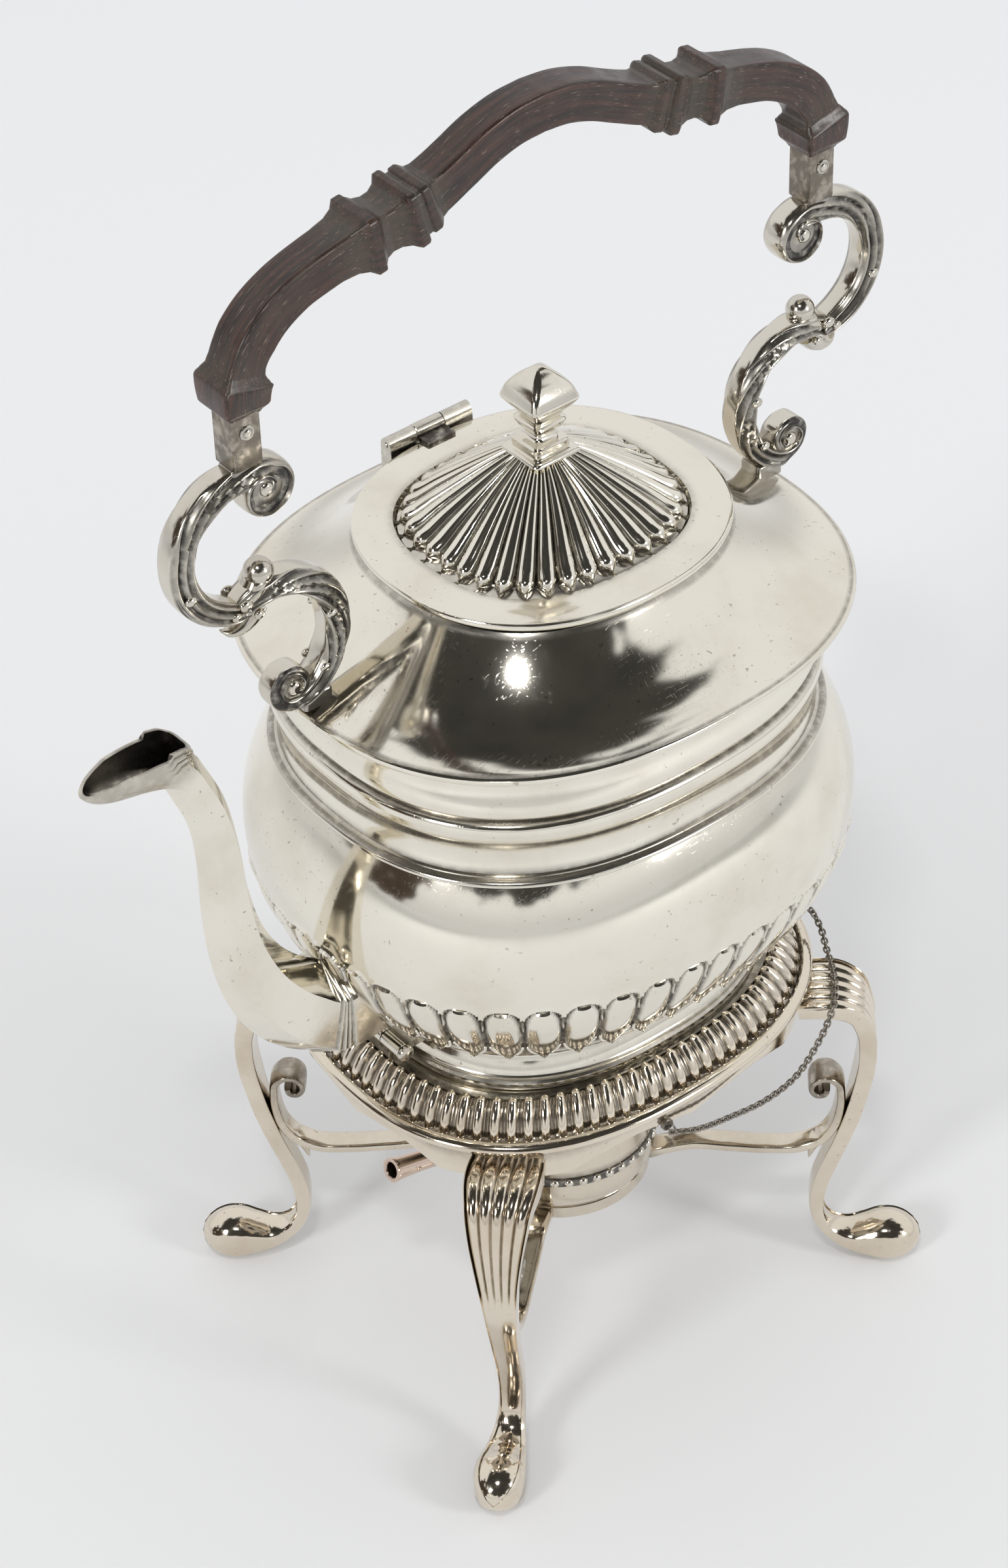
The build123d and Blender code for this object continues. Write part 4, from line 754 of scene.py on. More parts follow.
root = smooth(spout_stations[:3], 60)[:34]
count = np.arange(len(root))
reeds = sum(peak(count - at, 1.0) for at in (22.5, 26.0, 29.5))
edge = 0.95 - 0.8 * ramp(count, 30, 33) - 0.35 * ramp(count, 18, 21) + 0.42 * reeds
Shape().add(
    [hexagon(station, circle(96), grow) for station, grow in zip(root, edge)],
    np.interp(count, [0, 17, 19, 20.5, 22.5, 24.2, 26, 27.8, 29.5, 31.5, 33],
              [0.1, 0.1, 0.3, 0.8, 0, 0.8, 0, 0.8, 0, 0.8, 0.5])).piece(
    "spout_ferrule", "kettle", "plate", crease=38)


# ---------------------------------------------------------------- handle
def rounded_square(corner, flat_points=7, round_points=6):
    """A unit square section with rounded corners, as (across, side) pairs."""
    flat = [(1.0, y) for y in np.linspace(-1 + corner, 1 - corner, flat_points)]
    bend = [(1 - corner + corner * math.cos(b), 1 - corner + corner * math.sin(b))
            for b in np.radians(np.linspace(0, 90, round_points)[1:-1])]
    return np.concatenate([
        np.array(flat + bend) @ [[math.cos(k), math.sin(k)], [-math.sin(k), math.cos(k)]]
        for k in circle(4)])


def carving(run, c, leaf, curl):
    """Height, 0 to 1, of a bracket's relief: ribs, slanting leaves, and a rail round a volute."""
    ridges = (0.5 - 0.5 * np.cos(2 * math.pi * (1.5 * (c + 1) + leaf(run)))) ** 0.8
    return ridges + curl(run) * (ramp(c, 0.30, 0.52) - ridges)


def carved(deep, *relief):
    """Moves the sides of a bracket by its relief."""

    def push(thick, broad, c, s):
        run = np.linspace(0, 1, len(thick))[:, None]
        on_side = ramp(np.abs(s), 0.50, 0.84)
        fade = ramp(run, 0.0, 0.03) * (1 - ramp(run, 0.97, 1.0))
        cut = deep * on_side * (1 - carving(run, c, *relief)) * fade * (np.abs(c) < 0.97)
        return thick, broad - np.sign(s) * cut

    return push


# Rows of (x, z, half thickness, half width); the upper scroll starts inside its volute
volute = (75.6, 282.8)
arcs = [(volute, [
    (560, 1.2, 1.0), (500, 2.0, 1.1), (440, 3.1, 1.3), (380, 4.0, 1.5), (320, 4.7, 1.7),
    (270, 5.1, 1.9), (220, 5.2, 2.1), (180, 5.1, 2.4), (140, 4.7, 2.7), (105, 4.3, 3.1)])]
arcs.append(((81.4, 270.6), [(b, 16.6, h) for b, h in (
    (88, 3.3), (60, 3.6), (40, 3.6), (20, 3.5), (0, 3.45), (-20, 3.45), (-40, 3.3), (-60, 3.1),
    (-78, 2.4), (-86, 1.4))]))
upper_line = [(x + r * math.cos(math.radians(b)), z + r * math.sin(math.radians(b)), h, 3.9)
              for (x, z), rows in arcs for b, r, h in rows]
lower_line = [
    (86.6, 252.6, 1.2, 2.4), (84.6, 254.2, 2.2, 3.2), (81.0, 255.9, 3.0, 3.7),
    (75.7, 256.6, 3.3, 3.9), (68.0, 254.7, 3.4, 3.9), (62.0, 249.4, 3.5, 3.9),
    (59.4, 242.0, 3.5, 3.9), (59.9, 235.0, 3.3, 3.9), (62.6, 229.4, 3.1, 3.9),
    (66.6, 225.4, 2.8, 4.0), (71.6, 223.6, 2.4, 4.0), (75.9, 225.4, 2.0, 4.0),
    (76.9, 229.2, 1.7, 4.0), (74.4, 232.0, 1.5, 4.0), (70.9, 231.6, 1.3, 4.0),
    (69.4, 228.9, 1.2, 4.0), (70.6, 226.9, 1.1, 4.0), (72.2, 227.3, 0.9, 3.9)]
knob_line = [(82.0, 255.4, 2.2, 3.2), (79.8, 257.4, 2.5, 3.3), (78.4, 259.4, 2.4, 3.1),
             (77.7, 261.0, 1.4, 2.0)]
thorn_line = [(79.0, 253.4, 2.4, 3.2), (81.4, 250.6, 2.1, 2.9), (84.2, 249.0, 1.5, 2.3),
              (86.6, 248.9, 0.9, 1.6), (88.2, 250.0, 0.3, 0.8)]
leaf_buds = [(83.6, 256.4, 1.5), (80.4, 252.6, 1.2), (86.2, 254.6, 1.1), (97.2, 264.2, 1.3),
             (61.6, 243.6, 1.3), (64.4, 230.2, 1.2)]
scroll_parts = (
    (upper_line, lambda u: 7.0 * np.clip(u - 0.38, 0, 2 / 7), lambda u: 1 - ramp(u, 0.33, 0.37)),
    (lower_line, lambda u: 9.0 * np.clip(u - 0.13, 0, 4 / 9), lambda u: ramp(u, 0.70, 0.75)))


def disc(shape, end, x, z, radius, half_width):
    """Joins the web of a volute: a disc square to Y with a round boss on each side."""
    side = [(0.7, 0.2), (0.7, 0.9), (0.4, 1.5), (-0.2, 1.8), (-0.3, radius - 0.4), (-0.8, radius)]
    rows = ([(-half_width - out, r) for out, r in side]
            + [(half_width + out, r) for out, r in side[::-1]])
    marks = np.array([0, 0, 0, 1, 1, 0.6, 0.6, 1, 1, 0, 0, 0]) * 0.6
    shape.add(lathe(rows, 40, (end * x, 0, z), (end, 0, 0), (0, 0, 1), (0, 1, 0)), marks)


def pad(shape, x, low, high, half_x, half_y, mark):
    """Joins a small rounded block on the handle's plane."""
    shape.add(stacked(rounded_square(0.3), [
        (z, half_x * k, half_y * k)
        for z, k in ((low, 1.0), (high - 0.6, 1.0), (high - 0.1, 0.95), (high, 0.88))], x), mark)


def bracket(end):
    """One cast bracket: an upper and a lower C scroll with volutes, knob and thorn."""
    shape = Shape()
    section, count = loop(72, 3.0), 260
    for rows, *relief in scroll_parts:
        grid = sweep_grid(smooth(rows, count), section, push=carved(1.05, *relief))
        # The carving's sides and low parts are marked as darker silver: tarnish with painted
        # shade.
        low = 1 - carving(np.linspace(0, 1, count)[:, None], section[:, 0], *relief)
        mark = ramp(np.abs(section[:, 1]), 0.5, 0.85) * (0.36 + 0.64 * low**0.7)
        shape.add(grid * (end, 1, 1), np.clip(mark, 0, 1))
    disc(shape, end, *volute, 5.6, 3.0)
    disc(shape, end, 72.6, 228.4, 4.6, 3.2)
    shape.ball((end * 77.6, 0, 260.9), 3.45, rows=14, cols=28, mark=0.12)
    for rows, count in ((knob_line, 16), (thorn_line, 24)):
        shape.add(sweep_grid(smooth(rows, count), loop(40, 2.2)) * (end, 1, 1), 0.12)
    for side in (-1, 1):
        for x, z, r in leaf_buds:
            shape.ball((end * x, side * 3.5, z), r, squash=(1.2, 0.6, 0.9), mark=0.05)
    pad(shape, end * 66.4, 220.2, 224.2, 3.9, 3.3, 0.45)
    pad(shape, end * post_x, 287.0, socket_low_z, 3.9, 2.8, 0.6)
    return shape


for name, end in (("front", -1), ("back", 1)):
    bracket(end).piece(f"{name}_bracket", "kettle", "cast", crease=50)
    socket_rows = [(z, half, half) for z, half in (
        (socket_low_z, 3.45), (socket_low_z + 0.3, 3.6), (socket_top_z - 0.2, 3.6),
        (socket_top_z, 3.5), (socket_top_z, 2.7), (socket_top_z - 8.0, 2.65))]
    Shape().add(stacked(rounded_square(0.10), socket_rows, end * post_x),
                [0.95, 0.85, 0.8, 0.75, 0.85, 0.95]).piece(f"{name}_socket", "kettle", "stand")

rivets = Shape()
for end in (-1, 1):
    for side in (-1, 1):
        rivets.add(
            lathe([(-0.3, 1.8), (0.25, 1.8), (0.45, 1.6), (0.5, 1.05), (0.75, 0.85), (0.9, 0.5),
                   (0.92, 0.1)], 24, (end * post_x, socket_face * side, rivet_z), side=(0, 0, 1),
                  way=(0, side, 0)), [0.7, 0.6, 0.1, 0.7, 0.1, 0, 0])
rivets.piece("handle_rivets", "kettle", "cast")

# Middle line of the grip's right half, then its half size along the way from the crown
grip_line = smooth([
    (0.0, 344.2), (7.0, 343.6), (14.0, 341.6), (21.0, 338.4), (28.0, 335.4), (35.5, 333.2),
    (46.0, 331.5), (57.0, 329.4), (66.0, 326.6), (72.6, 322.6), (77.4, 317.0), (79.7, 311.0),
    (80.0, 303.5)], 800)
run = run_along(grip_line)
grip_end = run[-1]
grip_sizes = [
    (0.0, 4.6), (24.0, 4.6), (29.4, 4.7), (31.0, 5.0), (32.0, 5.9), (32.5, 6.15), (34.0, 6.15),
    (34.5, 5.75), (35.6, 5.8), (36.0, 6.7), (36.4, 6.9), (37.9, 6.9), (38.3, 6.6), (39.4, 5.7),
    (41.4, 5.05), (43.6, 4.95), (45.6, 5.4), (46.8, 6.3), (47.2, 6.85), (47.6, 6.9), (49.1, 6.9),
    (49.5, 6.6), (50.6, 5.75), (53.0, 5.05), (57.0, 4.7), (66.0, 4.6), (grip_end - 17.0, 4.75),
    (grip_end - 14.0, 4.6), (grip_end - 11.6, 4.55), (grip_end - 9.8, 4.75),
    (grip_end - 8.6, 5.45), (grip_end - 7.6, 6.1), (grip_end - 7.2, 6.2), (grip_end - 2.4, 5.7),
    (grip_end - 1.9, 5.45), (grip_end - 0.6, 4.3), (grip_end, 4.0)]
grip_dirt = [
    (0, 0.05), (27, 0.1), (31, 0.7), (34.2, 0.2), (35, 1.0), (38.2, 0.1), (40, 0.75), (45, 0.75),
    (47.6, 0.1), (49.4, 0.3), (52, 0.75), (60, 0.1), (grip_end - 16, 0.1), (grip_end - 11, 0.5),
    (grip_end - 7.9, 0.6), (grip_end - 7.3, 0.05), (grip_end, 0.1)]
at = np.unique(np.concatenate([np.linspace(0, grip_end, 150), [s for s, _ in grip_sizes],
                               np.linspace(28, 56, 110)]))
half, dirt = (np.interp(at, *np.array(rows).T) for rows in (grip_sizes, grip_dirt))
right = np.column_stack([places(grip_line, run, at), half, half, dirt, at])
grip_rows = np.concatenate([right[:0:-1] * (-1, 1, 1, 1, 1, -1), right])
ring = rounded_square(0.17)
grip_grid = sweep_grid(grip_rows, ring)
grain = np.stack([np.broadcast_to(grip_rows[:, 5:], grip_grid.shape[:2]),
                  ring[:, 1] * grip_rows[:, 3:4], ring[:, 0] * grip_rows[:, 2:3]], -1)
Shape().add(grip_grid, grip_rows[:, 4], grain=grain).piece(
    "handle_grip", "kettle", "wood", crease=40)

# ---------------------------------------------------------------- stand: rim, band, platform
stand_angles = even_angles(band_lobes * band_cols, 60.5, 51.5)
rim_rows = profile(
    (96.7, 61.3),
    (4, [(96.75, 62.4), (96.9, 63.3)]),
    (14, [(97.4, 64.2), (98.2, 64.6), (99.0, 64.4), (99.6, 63.8), (100.0, 63.0), (100.1, 62.5)]),
    (6, [(99.9, 62.15), (99.3, 61.9), (98.7, 61.3)]))
Shape().add(rings(stand_angles[::2], rim_rows, stand_step),
            np.interp(np.arange(len(rim_rows)), [0, 3, 17, 19, 21, 23], [0.4, 0, 0, 0.2, 0.9, 1]),
            loop_rows=True).piece("stand_rim", "stand", "stand")

band_rows = np.concatenate([
    profile((98.6, 61.7),
            (44, [(99.6, 61.35), (101.4, 60.95), (103.2, 60.1), (105.0, 58.9), (106.4, 57.4),
                  (107.2, 55.9)]),
            (10, [(107.35, 55.2), (107.1, 54.6), (106.4, 54.3), (105.4, 54.25)])),
    [(104.4, 54.25), (104.4, 57.6), (101.5, 59.3), (98.0, 59.6), (96.7, 59.6), (96.7, 61.2)]])
phase = np.abs(phases(stand_angles, band_cols)) * 2
count = np.arange(len(band_rows))[:, None]
upto = ramp(count, 1, 4) * (1 - ramp(count, 50, 53))
tip = np.maximum(dome((count - 44) / 7.0), math.sqrt(0.02))
foot_end = np.maximum(dome((7 - count) / 7.0), math.sqrt(0.05))
inside_lobe = np.minimum(phase / (0.66 * tip * foot_end), 1)
ridge = 0.22 * peak(phase - 1.0, 0.07)
knob = 0.35 * peak(count - 42, 4.0) * dome(inside_lobe)
lift = (band_depth * (dome(inside_lobe) - 1) + ridge + knob) * upto
# band_mark darkens the gaps between the band's lobes and its inner edge: tarnish with painted
# shade.
band_mark = np.maximum(upto * np.clip(1.6 * (inside_lobe - 0.60), 0, 1), (count < 3) * 0.9)
Shape().add(raised(rings(stand_angles, band_rows, stand_step), lift), band_mark,
            loop_rows=True).piece("gadroon_band", "stand", "stand")

platform_rows = [(106.0, 54.25), (106.0, 47.0), (106.0, 38.9), (105.9, 38.3), (105.6, 38.0),
                 (104.8, 38.0), (104.4, 38.3), (104.4, 54.25)]
platform = Shape().add(rings(stand_angles[::3], platform_rows, stand_step),
                       [0.8, 0.05, 0.05, 0.1, 0.2, 0.3, 0.4, 0.5], loop_rows=True)
knuckles(platform, [(-hinge_x, -3.0, 3.0), (hinge_x, -10.0, -3.3), (hinge_x, 3.3, 10.0)],
         hinge_x - knuckle_r, 104.6, hinge_z, 0.3)
platform.piece("platform", "stand", "plate")


# Apron: an upright band, its lower edge cut into two arches with a cusp on each side
def arch_height(at, half_run):
    """Lower edge of the apron at a distance from the middle of a side."""
    at = np.abs(at)
    arch_z, cusp_z = apron_top_z - 4.0, apron_top_z - 6.4
    rise = np.interp(at, [0, half_run / 2, half_run], [cusp_z, arch_z, apron_low_z])
    share = at / half_run
    bow = np.where(share < 0.5, (arch_z - cusp_z) * (np.sin(share * math.pi) - 2 * share),
                   (arch_z - apron_low_z) * (np.sin(share * math.pi) - 2 * (1 - share)))
    return np.where(at < half_run, rise + bow, apron_low_z)


apron_angles = even_angles(720, apron_half, apron_half - stand_step)
x, y = outline(apron_angles, apron_half, apron_half - stand_step).T
low = np.where(np.abs(x) < arch_half_x, arch_height(x, arch_half_x), arch_height(y, arch_half_y))
apron_grid = [
    np.column_stack([outline(apron_angles, apron_half - inset, apron_half - stand_step - inset),
                     low + (apron_top_z - low) * share + drop])
    for inset, share, drop in (
        (0, 1.0, 0), (0, 0.5, 0), (0, 0.12, 0), (0.12, 0.0, 0.12), (0.5, 0.0, 0.0),
        (1.1, 0.0, 0.0), (1.48, 0.0, 0.12), (1.6, 0.12, 0), (1.6, 1.0, 0))]
Shape().add(apron_grid, [0.6, 0.05, 0, 0, 0.1, 0.2, 0.2, 0.3, 0.5], loop_rows=True).piece(
    "apron", "stand", "stand")

# ---------------------------------------------------------------- legs and scrolls
leg_rows = smooth([
    (60.5, 92.9, 2.0, 8.8), (66.0, 93.6, 2.1, 9.3), (70.5, 93.3, 2.2, 9.2),
    (75.0, 90.6, 2.4, 8.2), (77.6, 84.5, 2.3, 7.1), (78.4, 76.5, 2.2, 5.9),
    (78.2, 70.0, 2.15, 5.1), (77.1, 62.0, 2.1, 4.4), (75.0, 51.5, 2.0, 3.75),
    (72.6, 43.0, 1.95, 3.4), (69.8, 34.6, 1.95, 3.2), (67.4, 26.0, 1.95, 3.15),
    (67.0, 18.6, 2.0, 3.35), (68.6, 12.8, 2.2, 3.8), (72.0, 8.9, 2.7, 4.6),
    (76.0, 7.1, 3.7, 5.6), (80.0, 6.75, 5.3, 6.4), (84.5, 6.9, 6.75, 7.1),
    (88.5, 6.85, 6.45, 6.8), (91.4, 6.75, 5.0, 5.4), (93.4, 6.65, 3.0, 3.3),
    (94.3, 6.6, 1.1, 1.3), (94.48, 6.6, 0.1, 0.1)], leg_count)
leg_edge = np.array([
    (end * (0.70 + 0.30 * math.sin(b)), leg_front + (1 - leg_front) * math.cos(b))
    for end, turns in ((1, [70, 45, 20, 0]), (-1, [0, 30, 60])) for b in np.radians(turns)])
leg_ring = np.concatenate([
    [(1.0, v) for v in np.linspace(leg_front, -leg_front, 75)], leg_edge * (1, -1),
    [(-1.0, v) for v in np.linspace(-leg_front, leg_front, 11)], leg_edge[::-1]])
c, s = leg_ring.T
station = np.arange(leg_count)
foot_share = ramp(station, 128, 160)[:, None]  # 1 where the section rounds out into the foot
leg_sections = np.stack([c * (1 + foot_share * (np.sqrt(1 - s**2 / 2) - 1)),
                         s * (1 + foot_share * (np.sqrt(1 - c**2 / 2) - 1))], -1)
reed_phase = np.abs((s / leg_front * leg_reeds / 2 + 0.5) % 1.0 - 0.5) * 2
reed_fade = (ramp(leg_rows[:, 1], 60.5, 68.0) * (station < reeded_count))[:, None]
is_front = (c > 0.99).astype(float)


def leg_push(thick, broad, across, side):
    """Five reeds down the outside of the knee, and a low belly below them."""
    crown = 0.45 * (1 - side**2) * (1 - foot_share) * (across > 0.5)
    reeds = reed_depth * reed_fade * (dome(np.minimum(reed_phase, 0.999)) - 1)
    return thick + is_front * (reeds - 0.45) + crown, broad


# leg_marks darken the grooves between the reeds: tarnish with painted shade.
leg_marks = is_front * reed_fade * np.clip(1.4 * (reed_phase - 0.62), 0, 1)
for number, angle in enumerate(leg_angles, start=1):
    leg_grid = sweep_grid(leg_rows, leg_sections, angle, leg_push)
    leg_grid[..., 2] = np.maximum(leg_grid[..., 2], 0.02)
    Shape().add(leg_grid, leg_marks).piece(f"leg_{number}", "stand", "stand", crease=45)

scroll_rows = smooth([
    (23.4, 37.9, 1.6, 3.0), (28.4, 39.6, 1.4, 3.0), (34.0, 41.0, 1.35, 3.0),
    (44.0, 40.3, 1.35, 3.0), (54.0, 39.6, 1.35, 3.0), (62.0, 40.0, 1.4, 3.0),
    (67.4, 42.8, 1.4, 3.0), (70.6, 47.6, 1.35, 3.05), (71.9, 53.0, 1.3, 3.2),
    (72.2, 58.6, 1.2, 3.5), (71.4, 63.4, 1.1, 3.9), (69.2, 65.4, 1.0, 4.1),
    (66.6, 65.2, 0.95, 4.1), (64.9, 63.2, 0.9, 4.0), (64.9, 60.8, 0.9, 3.7),
    (66.4, 59.2, 0.9, 3.4), (68.2, 59.6, 0.95, 3.2), (68.6, 61.0, 0.9, 3.1)], 170)
scroll_marks = np.interp(np.arange(len(scroll_rows)), [0, 8, 100, 125, 140, 170],
                         [0.6, 0.1, 0.1, 0.3, 0.6, 0.8])
thorn_rows = smooth([(66.6, 41.4, 1.2, 2.2), (65.4, 38.6, 0.9, 1.8), (64.8, 36.2, 0.5, 1.2),
                     (64.6, 34.8, 0.15, 0.5)], 14)
for number, angle in enumerate(leg_angles, start=1):
    scroll = Shape().add(sweep_grid(scroll_rows, loop(40, 4.0), angle), scroll_marks)
    scroll.add(sweep_grid(thorn_rows, loop(20, 2.5), angle), 0.2)
    scroll.piece(f"scroll_{number}", "stand", "stand", crease=50)

ring_rows = [(36.0, 22.5), (36.3, 22.1), (39.7, 22.0), (40.0, 22.4), (40.0, 23.3), (39.7, 23.7),
             (38.0, 23.8), (36.3, 23.7), (36.0, 23.3)]
Shape().add(lathe(ring_rows), 0.15, loop_rows=True).piece("burner_ring", "stand", "stand")


# ---------------------------------------------------------------- pins and chain
def wire_ring(shape, centre, normal, way, radius, wire, straight=0.0, cols=8, rows=22):
    """Joins a ring of wire, drawn out by a straight run for a chain link."""
    normal, way = np.asarray(normal, float), np.asarray(way, float)
    a, b = circle(rows)[:, None], circle(cols)[None, :, None]
    out = np.cos(a) * way + np.sin(a) * np.cross(normal, way)
    middle = np.asarray(centre) + out * radius + np.sign(np.cos(a)) * way * straight / 2
    grid = middle[:, None] + wire * (np.cos(b) * out[:, None] + np.sin(b) * normal)
    shape.add(grid, 0.25, loop_rows=True)


pin_head = [(0.0, 1.9), (0.2, 2.2), (0.7, 2.2), (1.1, 2.0), (1.45, 1.4), (1.6, 0.5)]
for node, pin_body, x, drawn in (("front_pin", "tilt_pin", -hinge_x, 0.0),
                                 ("back_pin", "lock_pin", hinge_x, pin_drawn)):
    head = pin_head_y - drawn
    hinge_pin = Shape().rod((x, head, hinge_z), (x, pin_end_y - drawn, hinge_z), pin_r,
                            mark=0.1, bevel=0.3)
    hinge_pin.add(lathe(pin_head, 28, (x, head, hinge_z), side=(0, 0, 1), way=(0, -1, 0)), 0.1)
    if drawn:
        wire_ring(hinge_pin, (x, head - eye_out, hinge_z), (1, 0, 0), (0, 1, 0), eye_r, eye_wire)
    hinge_pin.piece(node, pin_body, "cast")

loop_at = np.array([loop_x, -55.3, loop_z])
chain_loop = Shape().rod((loop_x, -54.2, loop_z), (loop_x, -52.9, loop_z), 1.6, mark=0.3)
wire_ring(chain_loop, loop_at, (1, 0, 0), (0, 1, 0), loop_r, eye_wire)
chain_loop.piece("chain_loop", "stand", "dark")

# The chain hangs from the loop to the eye of the drawn pin
eye_low = np.array([hinge_x, pin_head_y - pin_drawn - eye_out, hinge_z - eye_r])
start_way, end_way = (v / np.linalg.norm(v) for v in np.array([(1.0, -0.12, -0.3),
                                                               (-0.68, 0.02, 0.73)]))
chain_points = np.array([
    loop_at - (0, 0, loop_r) + start_way * 0.33,
    (-3.5, -56.6, 89.0), (8.5, -57.4, 86.6), (19.0, -57.8, 85.6), (30.0, -57.0, 86.6),
    (38.0, -55.0, 89.8), (43.2, -53.6, 94.0), (46.6, -52.0, 97.3), (50.0, -48.6, 97.7),
    (53.4, -44.2, 98.0), (57.0, -37.6, 99.7), (59.6, -32.2, 102.1), (59.4, -29.2, 105.0),
    (57.2, -27.8, 107.9), eye_low - end_way * 0.33])
chain_line = smooth(chain_points, 4000, run_along(chain_points))
run = run_along(chain_line)
link_count = 2 * round(run[-1] / (2 * link_pitch)) + 1
chain = Shape()
for index, at in enumerate(np.linspace(0, run[-1], link_count)):
    place, ahead, behind = places(chain_line, run, [at, at + 0.3, at - 0.3])
    way = (ahead - behind) / np.linalg.norm(ahead - behind)
    normal = np.cross(way, [0, 0, 1.0])
    normal /= np.linalg.norm(normal)
    if index % 2:
        normal = np.cross(normal, way)
    wire_ring(chain, place, normal, way, link_half_width, link_wire, link_straight, cols=6,
              rows=14)
chain.piece("pin_chain", ("stand", "lock_pin"), "dark", crease=180,
            ends=(chain_points[0], chain_points[-1]))

# ---------------------------------------------------------------- burner and snuffer
bowl_rows = np.concatenate([
    profile((31.0, 0.4), (5, [(31.0, 6.0), (31.0, 12.0)]),
            (9, [(31.5, 15.4), (32.8, 18.0), (35.0, 20.6)]), (5, [(36.6, 21.7), (40.1, 21.7)])),
    [(40.1, 23.3), (40.3, 23.7)],
    profile((40.3, 23.7), (10, [(42.2, 24.6), (44.6, 25.2), (49.0, 25.2)])),
    [(49.0, 24.2)],
    profile((49.0, 24.2), (8, [(44.6, 24.2), (41.6, 23.2), (40.6, 20.7)])),
    [(37.4, 20.7), (33.9, 17.4), (32.1, 12.0), (32.0, 6.0), (32.0, 0.4)]])
Shape().add(lathe(bowl_rows), 0.08).piece("burner_bowl", "burner", "stand")

girdle = Shape().add(lathe([(49.0, 24.4), (49.05, 25.5), (49.4, 25.7), (51.2, 25.7),
                            (51.55, 25.5), (51.6, 24.4)]), 0.9, loop_rows=True)
for a in circle(girdle_beads):
    girdle.ball((girdle_half * math.cos(a), girdle_half * math.sin(a), girdle_z), girdle_bead_r,
                rows=12, cols=18, squash=(1.0, 1.0, 0.97))
girdle.piece("bead_girdle", "burner", "cast", crease=80)

cover_rows = np.concatenate([
    profile((51.6, 25.2), (6, [(54.0, 25.2), (57.4, 25.15)]),
            (12, [(58.8, 25.0), (60.0, 24.2), (60.6, 23.2)]),
            (10, [(62.2, 20.6), (63.4, 16.4), (64.2, 12.6), (64.7, 8.6)])),
    [(65.1, 6.6), (65.3, 6.1), (65.2, 5.6), (64.0, 5.5), (63.7, 8.6), (62.4, 15.6),
     (60.2, 22.0), (58.4, 24.0), (51.6, 24.2)]])
cover_marks = np.interp(np.arange(len(cover_rows)), [0, 2, 25, 28, 30, 41],
                        [0.7, 0.05, 0.05, 0.6, 0.2, 0.5])
Shape().add(lathe(cover_rows), cover_marks, loop_rows=True).piece(
    "burner_cover", "burner", "stand")

tube_rows = [(35.0, 4.7), (35.0, 5.4), (73.4, 5.5), (73.9, 5.4), (74.0, 5.1), (73.9, 4.75),
             (73.0, 4.7)]
wick_rows = [(33.0, 0.5), (33.0, 4.6), (74.5, 4.65), (75.6, 4.5), (76.4, 4.0), (76.85, 3.0),
             (76.95, 1.5), (76.98, 0.2)]
Shape().add(lathe(tube_rows, 64), 0.5, loop_rows=True).piece("wick_tube", "burner", "cast")
Shape().add(lathe(wick_rows, 48)).piece("wick", "burner", "wick", crease=70)

# The side tube slopes up away from the burner to an open, slightly flared mouth
tube_tilt = math.radians(15)
tube_way = np.array([math.cos(tube_tilt), 0, -math.sin(tube_tilt)])
tube_up = np.array([math.sin(tube_tilt), 0, math.cos(tube_tilt)])
mouth = np.array([-53.0, 0.0, 64.0])
side_rows = [(30.6, 2.05), (31.0, 2.5), (28.4, 2.6), (12.0, 2.6), (9.0, 2.62), (6.0, 2.72),
             (3.0, 2.9), (1.2, 3.08), (0.3, 3.2), (0.05, 3.15), (0.05, 2.2), (0.3, 2.0),
             (8.0, 2.0), (28.8, 2.0)]
Shape().add(lathe(side_rows, 56, mouth, tube_up, way=tube_way),
            [0.6, 0.6, 0.4, 0.05, 0, 0, 0, 0, 0, 0, 0.2, 0.7, 1, 1], loop_rows=True).piece(
    "handle_tube", "burner", "warm")
a = circle(56)[::3, None]
rivet_ring = np.cos(a) * tube_up + np.sin(a) * tube_way
Shape().add([mouth + tube_way * 7.0 - (0, out, 0) + rivet_ring * r for out, r in (
    (2.2, 0.7), (2.75, 0.7), (2.95, 0.62), (3.1, 0.4), (3.14, 0.1))]).piece(
    "tube_rivet", "burner", "warm")

cap_rows = np.concatenate([[(76.6, 0.3), (78.0, 6.6), (65.4, 6.6)], profile(
    (65.4, 7.35), (6, [(66.2, 7.4), (77.4, 7.4)]),
    (8, [(78.6, 7.2), (79.6, 6.2), (80.1, 4.6), (80.3, 2.6)]),
    (14, [(80.6, 1.4), (81.2, 1.2), (82.0, 1.9), (83.2, 2.3), (84.2, 1.6), (84.5, 0.3)]))])
Shape().add(lathe(cap_rows, 72), 0.1).piece("snuffer_cap", "snuffer", "stand")


# ---------------------------------------------------------------- studio
def floor_paper():
    """Pale paper, painted darker towards the camera and a little lighter towards the back of the
    studio: a painted fall-off of light.
    """
    n = material("floor_paper")
    way = n.add("ShaderNodeSeparateXYZ", {0: n.coordinates()}).outputs
    depth = n.math("ADD", n.math("MULTIPLY", way["X"], 0.61), n.math("MULTIPLY", way["Y"], 0.79))
    pale = (0.90, 0.905, 0.92, 1)
    # Painted shade: the floor colour darkens towards the camera in place of the light's fall-off.
    colour = n.mix(n.steps(depth, -0.45, 0.75), (0.70, 0.705, 0.71, 1), pale)
    colour = n.mix(n.steps(depth, -3.2, -0.8), pale, colour)
    return n.finish(Base_Color=colour, Roughness=0.9, Specular_IOR_Level=0.0)


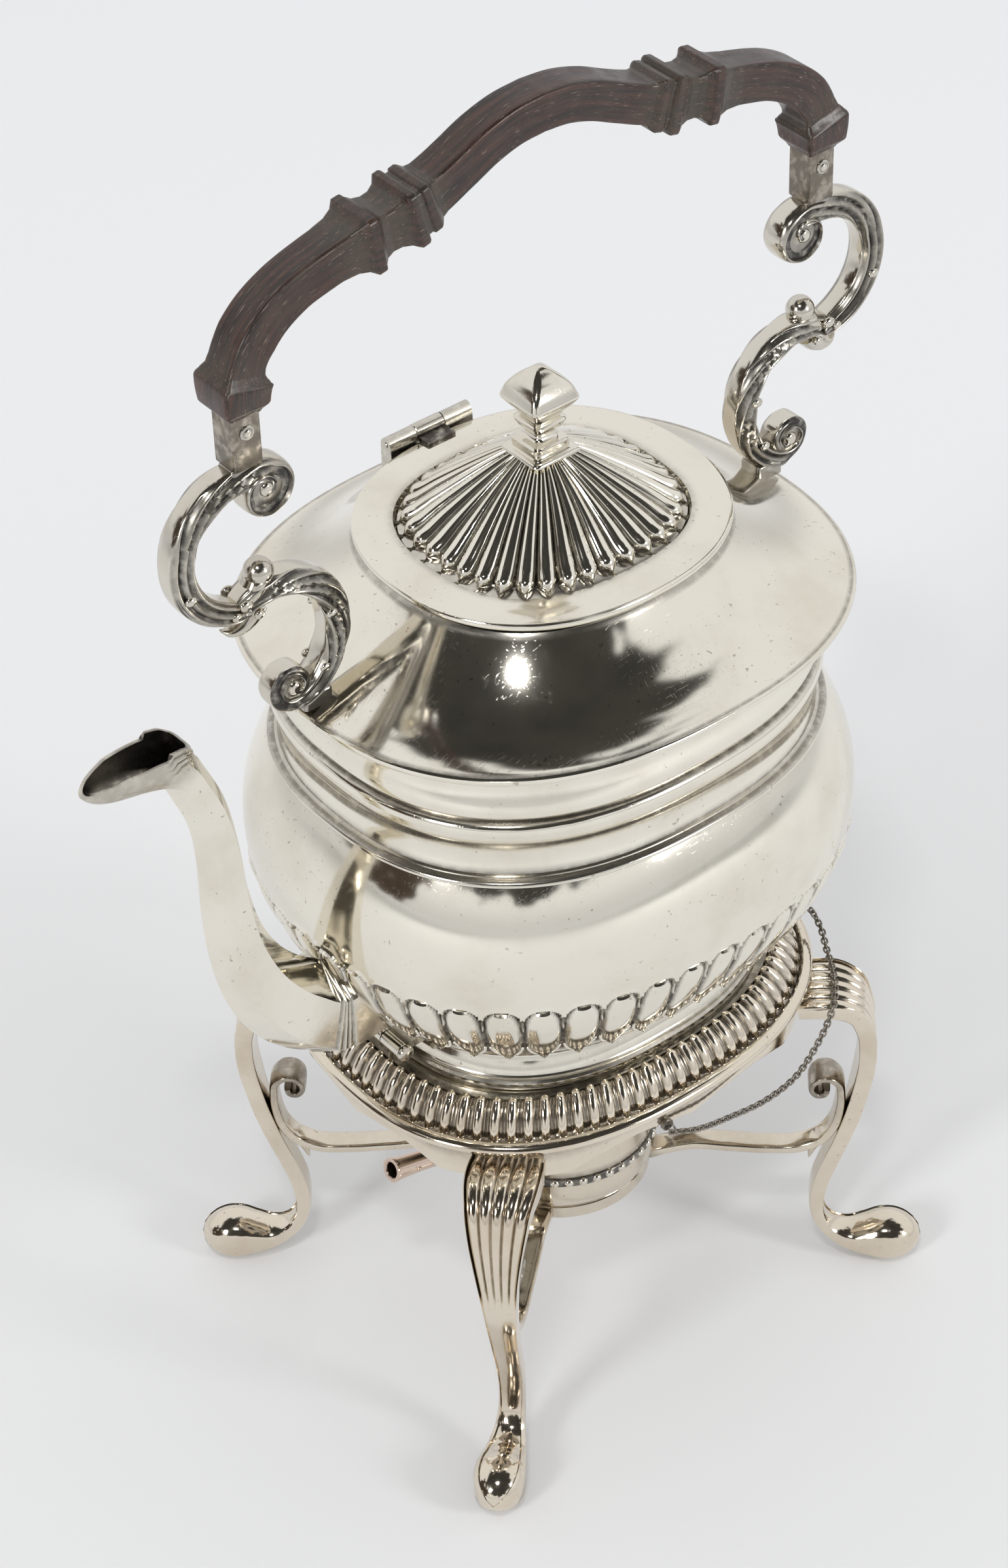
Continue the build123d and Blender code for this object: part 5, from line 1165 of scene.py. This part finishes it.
floor_half, floor_z = 30.0, -0.0003  # metres
floor_mesh = bpy.data.meshes.new("floor")
floor_mesh.from_pydata([(x * floor_half, y * floor_half, floor_z)
                        for x, y in ((-1, -1), (1, -1), (1, 1), (-1, 1))], [], [(0, 1, 2, 3)])
floor_mesh.materials.append(floor_paper())
floor = bpy.data.objects.new("floor", floor_mesh)
bpy.context.scene.collection.objects.link(floor)

world = bpy.data.worlds.new("studio")
bpy.context.scene.world = world
studio = Nodes(world, "Background")
view = studio.add("ShaderNodeTexCoord").outputs["Generated"]
bends = studio.noise(view, 5.0, 1.5, 0.5, output="Color")
uneven = studio.vector("MULTIPLY", studio.vector("SUBTRACT", bends, (0.5, 0.5, 0.5)),
                       (0.35, 0.35, 0.35))


def toward(azimuth, elevation, wide, soft):
    """1 near a direction, given in degrees, and 0 away from it."""
    az, el = math.radians(azimuth), math.radians(elevation)
    way = (math.cos(az) * math.cos(el), math.sin(az) * math.cos(el), math.sin(el))
    bent = studio.vector("ADD", studio.vector("NORMALIZE", view), uneven)
    return studio.steps(studio.vector("DOT_PRODUCT", bent, way, "Value"),
                        math.cos(math.radians(wide + soft)), math.cos(math.radians(wide - soft)))


# Bright walls and table, a dark room over the camera's side, brown furniture to the left
shade = studio.mix(studio.noise(view, 2.6, 3.0, 0.5), (0.012, 0.014, 0.014, 1),
                   (0.075, 0.070, 0.062, 1))
way_up = studio.add("ShaderNodeSeparateXYZ", {0: view}).outputs["Z"]
room = studio.mix(studio.steps(way_up, 0.0, 0.3), (0.67, 0.67, 0.68, 1), (0.86, 0.86, 0.86, 1))
room = studio.mix(toward(162, 20, 23, 2.5), room, (0.060, 0.042, 0.030, 1))
room = studio.mix(toward(-127, 62, 47, 2.0), room, shade)
rays = studio.add("ShaderNodeLightPath").outputs
plain = studio.mix(rays["Is Camera Ray"], (0.74, 0.74, 0.74, 1), (0.67, 0.675, 0.685, 1))
studio.finish(Color=studio.mix(rays["Is Glossy Ray"], plain, room), Strength=1.0)


def softbox(name, at, size, power_watts, target=(0.0, 0.0, 0.2)):
    """A rectangular area light aimed at the kettle."""
    lamp = bpy.data.lights.new(name, "AREA")
    lamp.shape = "RECTANGLE"
    lamp.size, lamp.size_y = size
    lamp.energy = power_watts
    obj = bpy.data.objects.new(name, lamp)
    obj.location = at
    obj.rotation_euler = (Vector(target) - Vector(at)).to_track_quat("-Z", "Y").to_euler()
    bpy.context.scene.collection.objects.link(obj)


softbox("strip_overhead", (-0.67, -0.67, 1.62), (0.17, 0.10), 4.5)
softbox("key_left", (-1.38, -0.30, 0.95), (0.30, 0.42), 7.0)
softbox("key_right", (0.60, -1.40, 0.76), (0.30, 0.42), 7.0)

# ---------------------------------------------------------------- camera
camera_at = Vector((-0.43649, -0.56759, 0.76075))
azimuth, elevation, roll = (math.radians(v) for v in (-37.5257, 39.6712, -1.9863))
back_way = Vector((math.sin(azimuth) * math.cos(elevation),
                   -math.cos(azimuth) * math.cos(elevation), math.sin(elevation)))
right_way = Vector((math.cos(azimuth), math.sin(azimuth), 0))
up_way = back_way.cross(right_way)
turned_right = right_way * math.cos(roll) + up_way * math.sin(roll)
turned_up = up_way * math.cos(roll) - right_way * math.sin(roll)
lens = bpy.data.cameras.new("camera")
lens.lens, lens.sensor_width, lens.sensor_fit = 90.49, 36.0, "AUTO"
camera = bpy.data.objects.new("camera", lens)
camera.matrix_world = Matrix.Translation(camera_at) @ Matrix(
    (turned_right, turned_up, back_way)).transposed().to_4x4()
bpy.context.scene.collection.objects.link(camera)
bpy.context.scene.camera = camera
bpy.context.scene.view_settings.view_transform = "Standard"
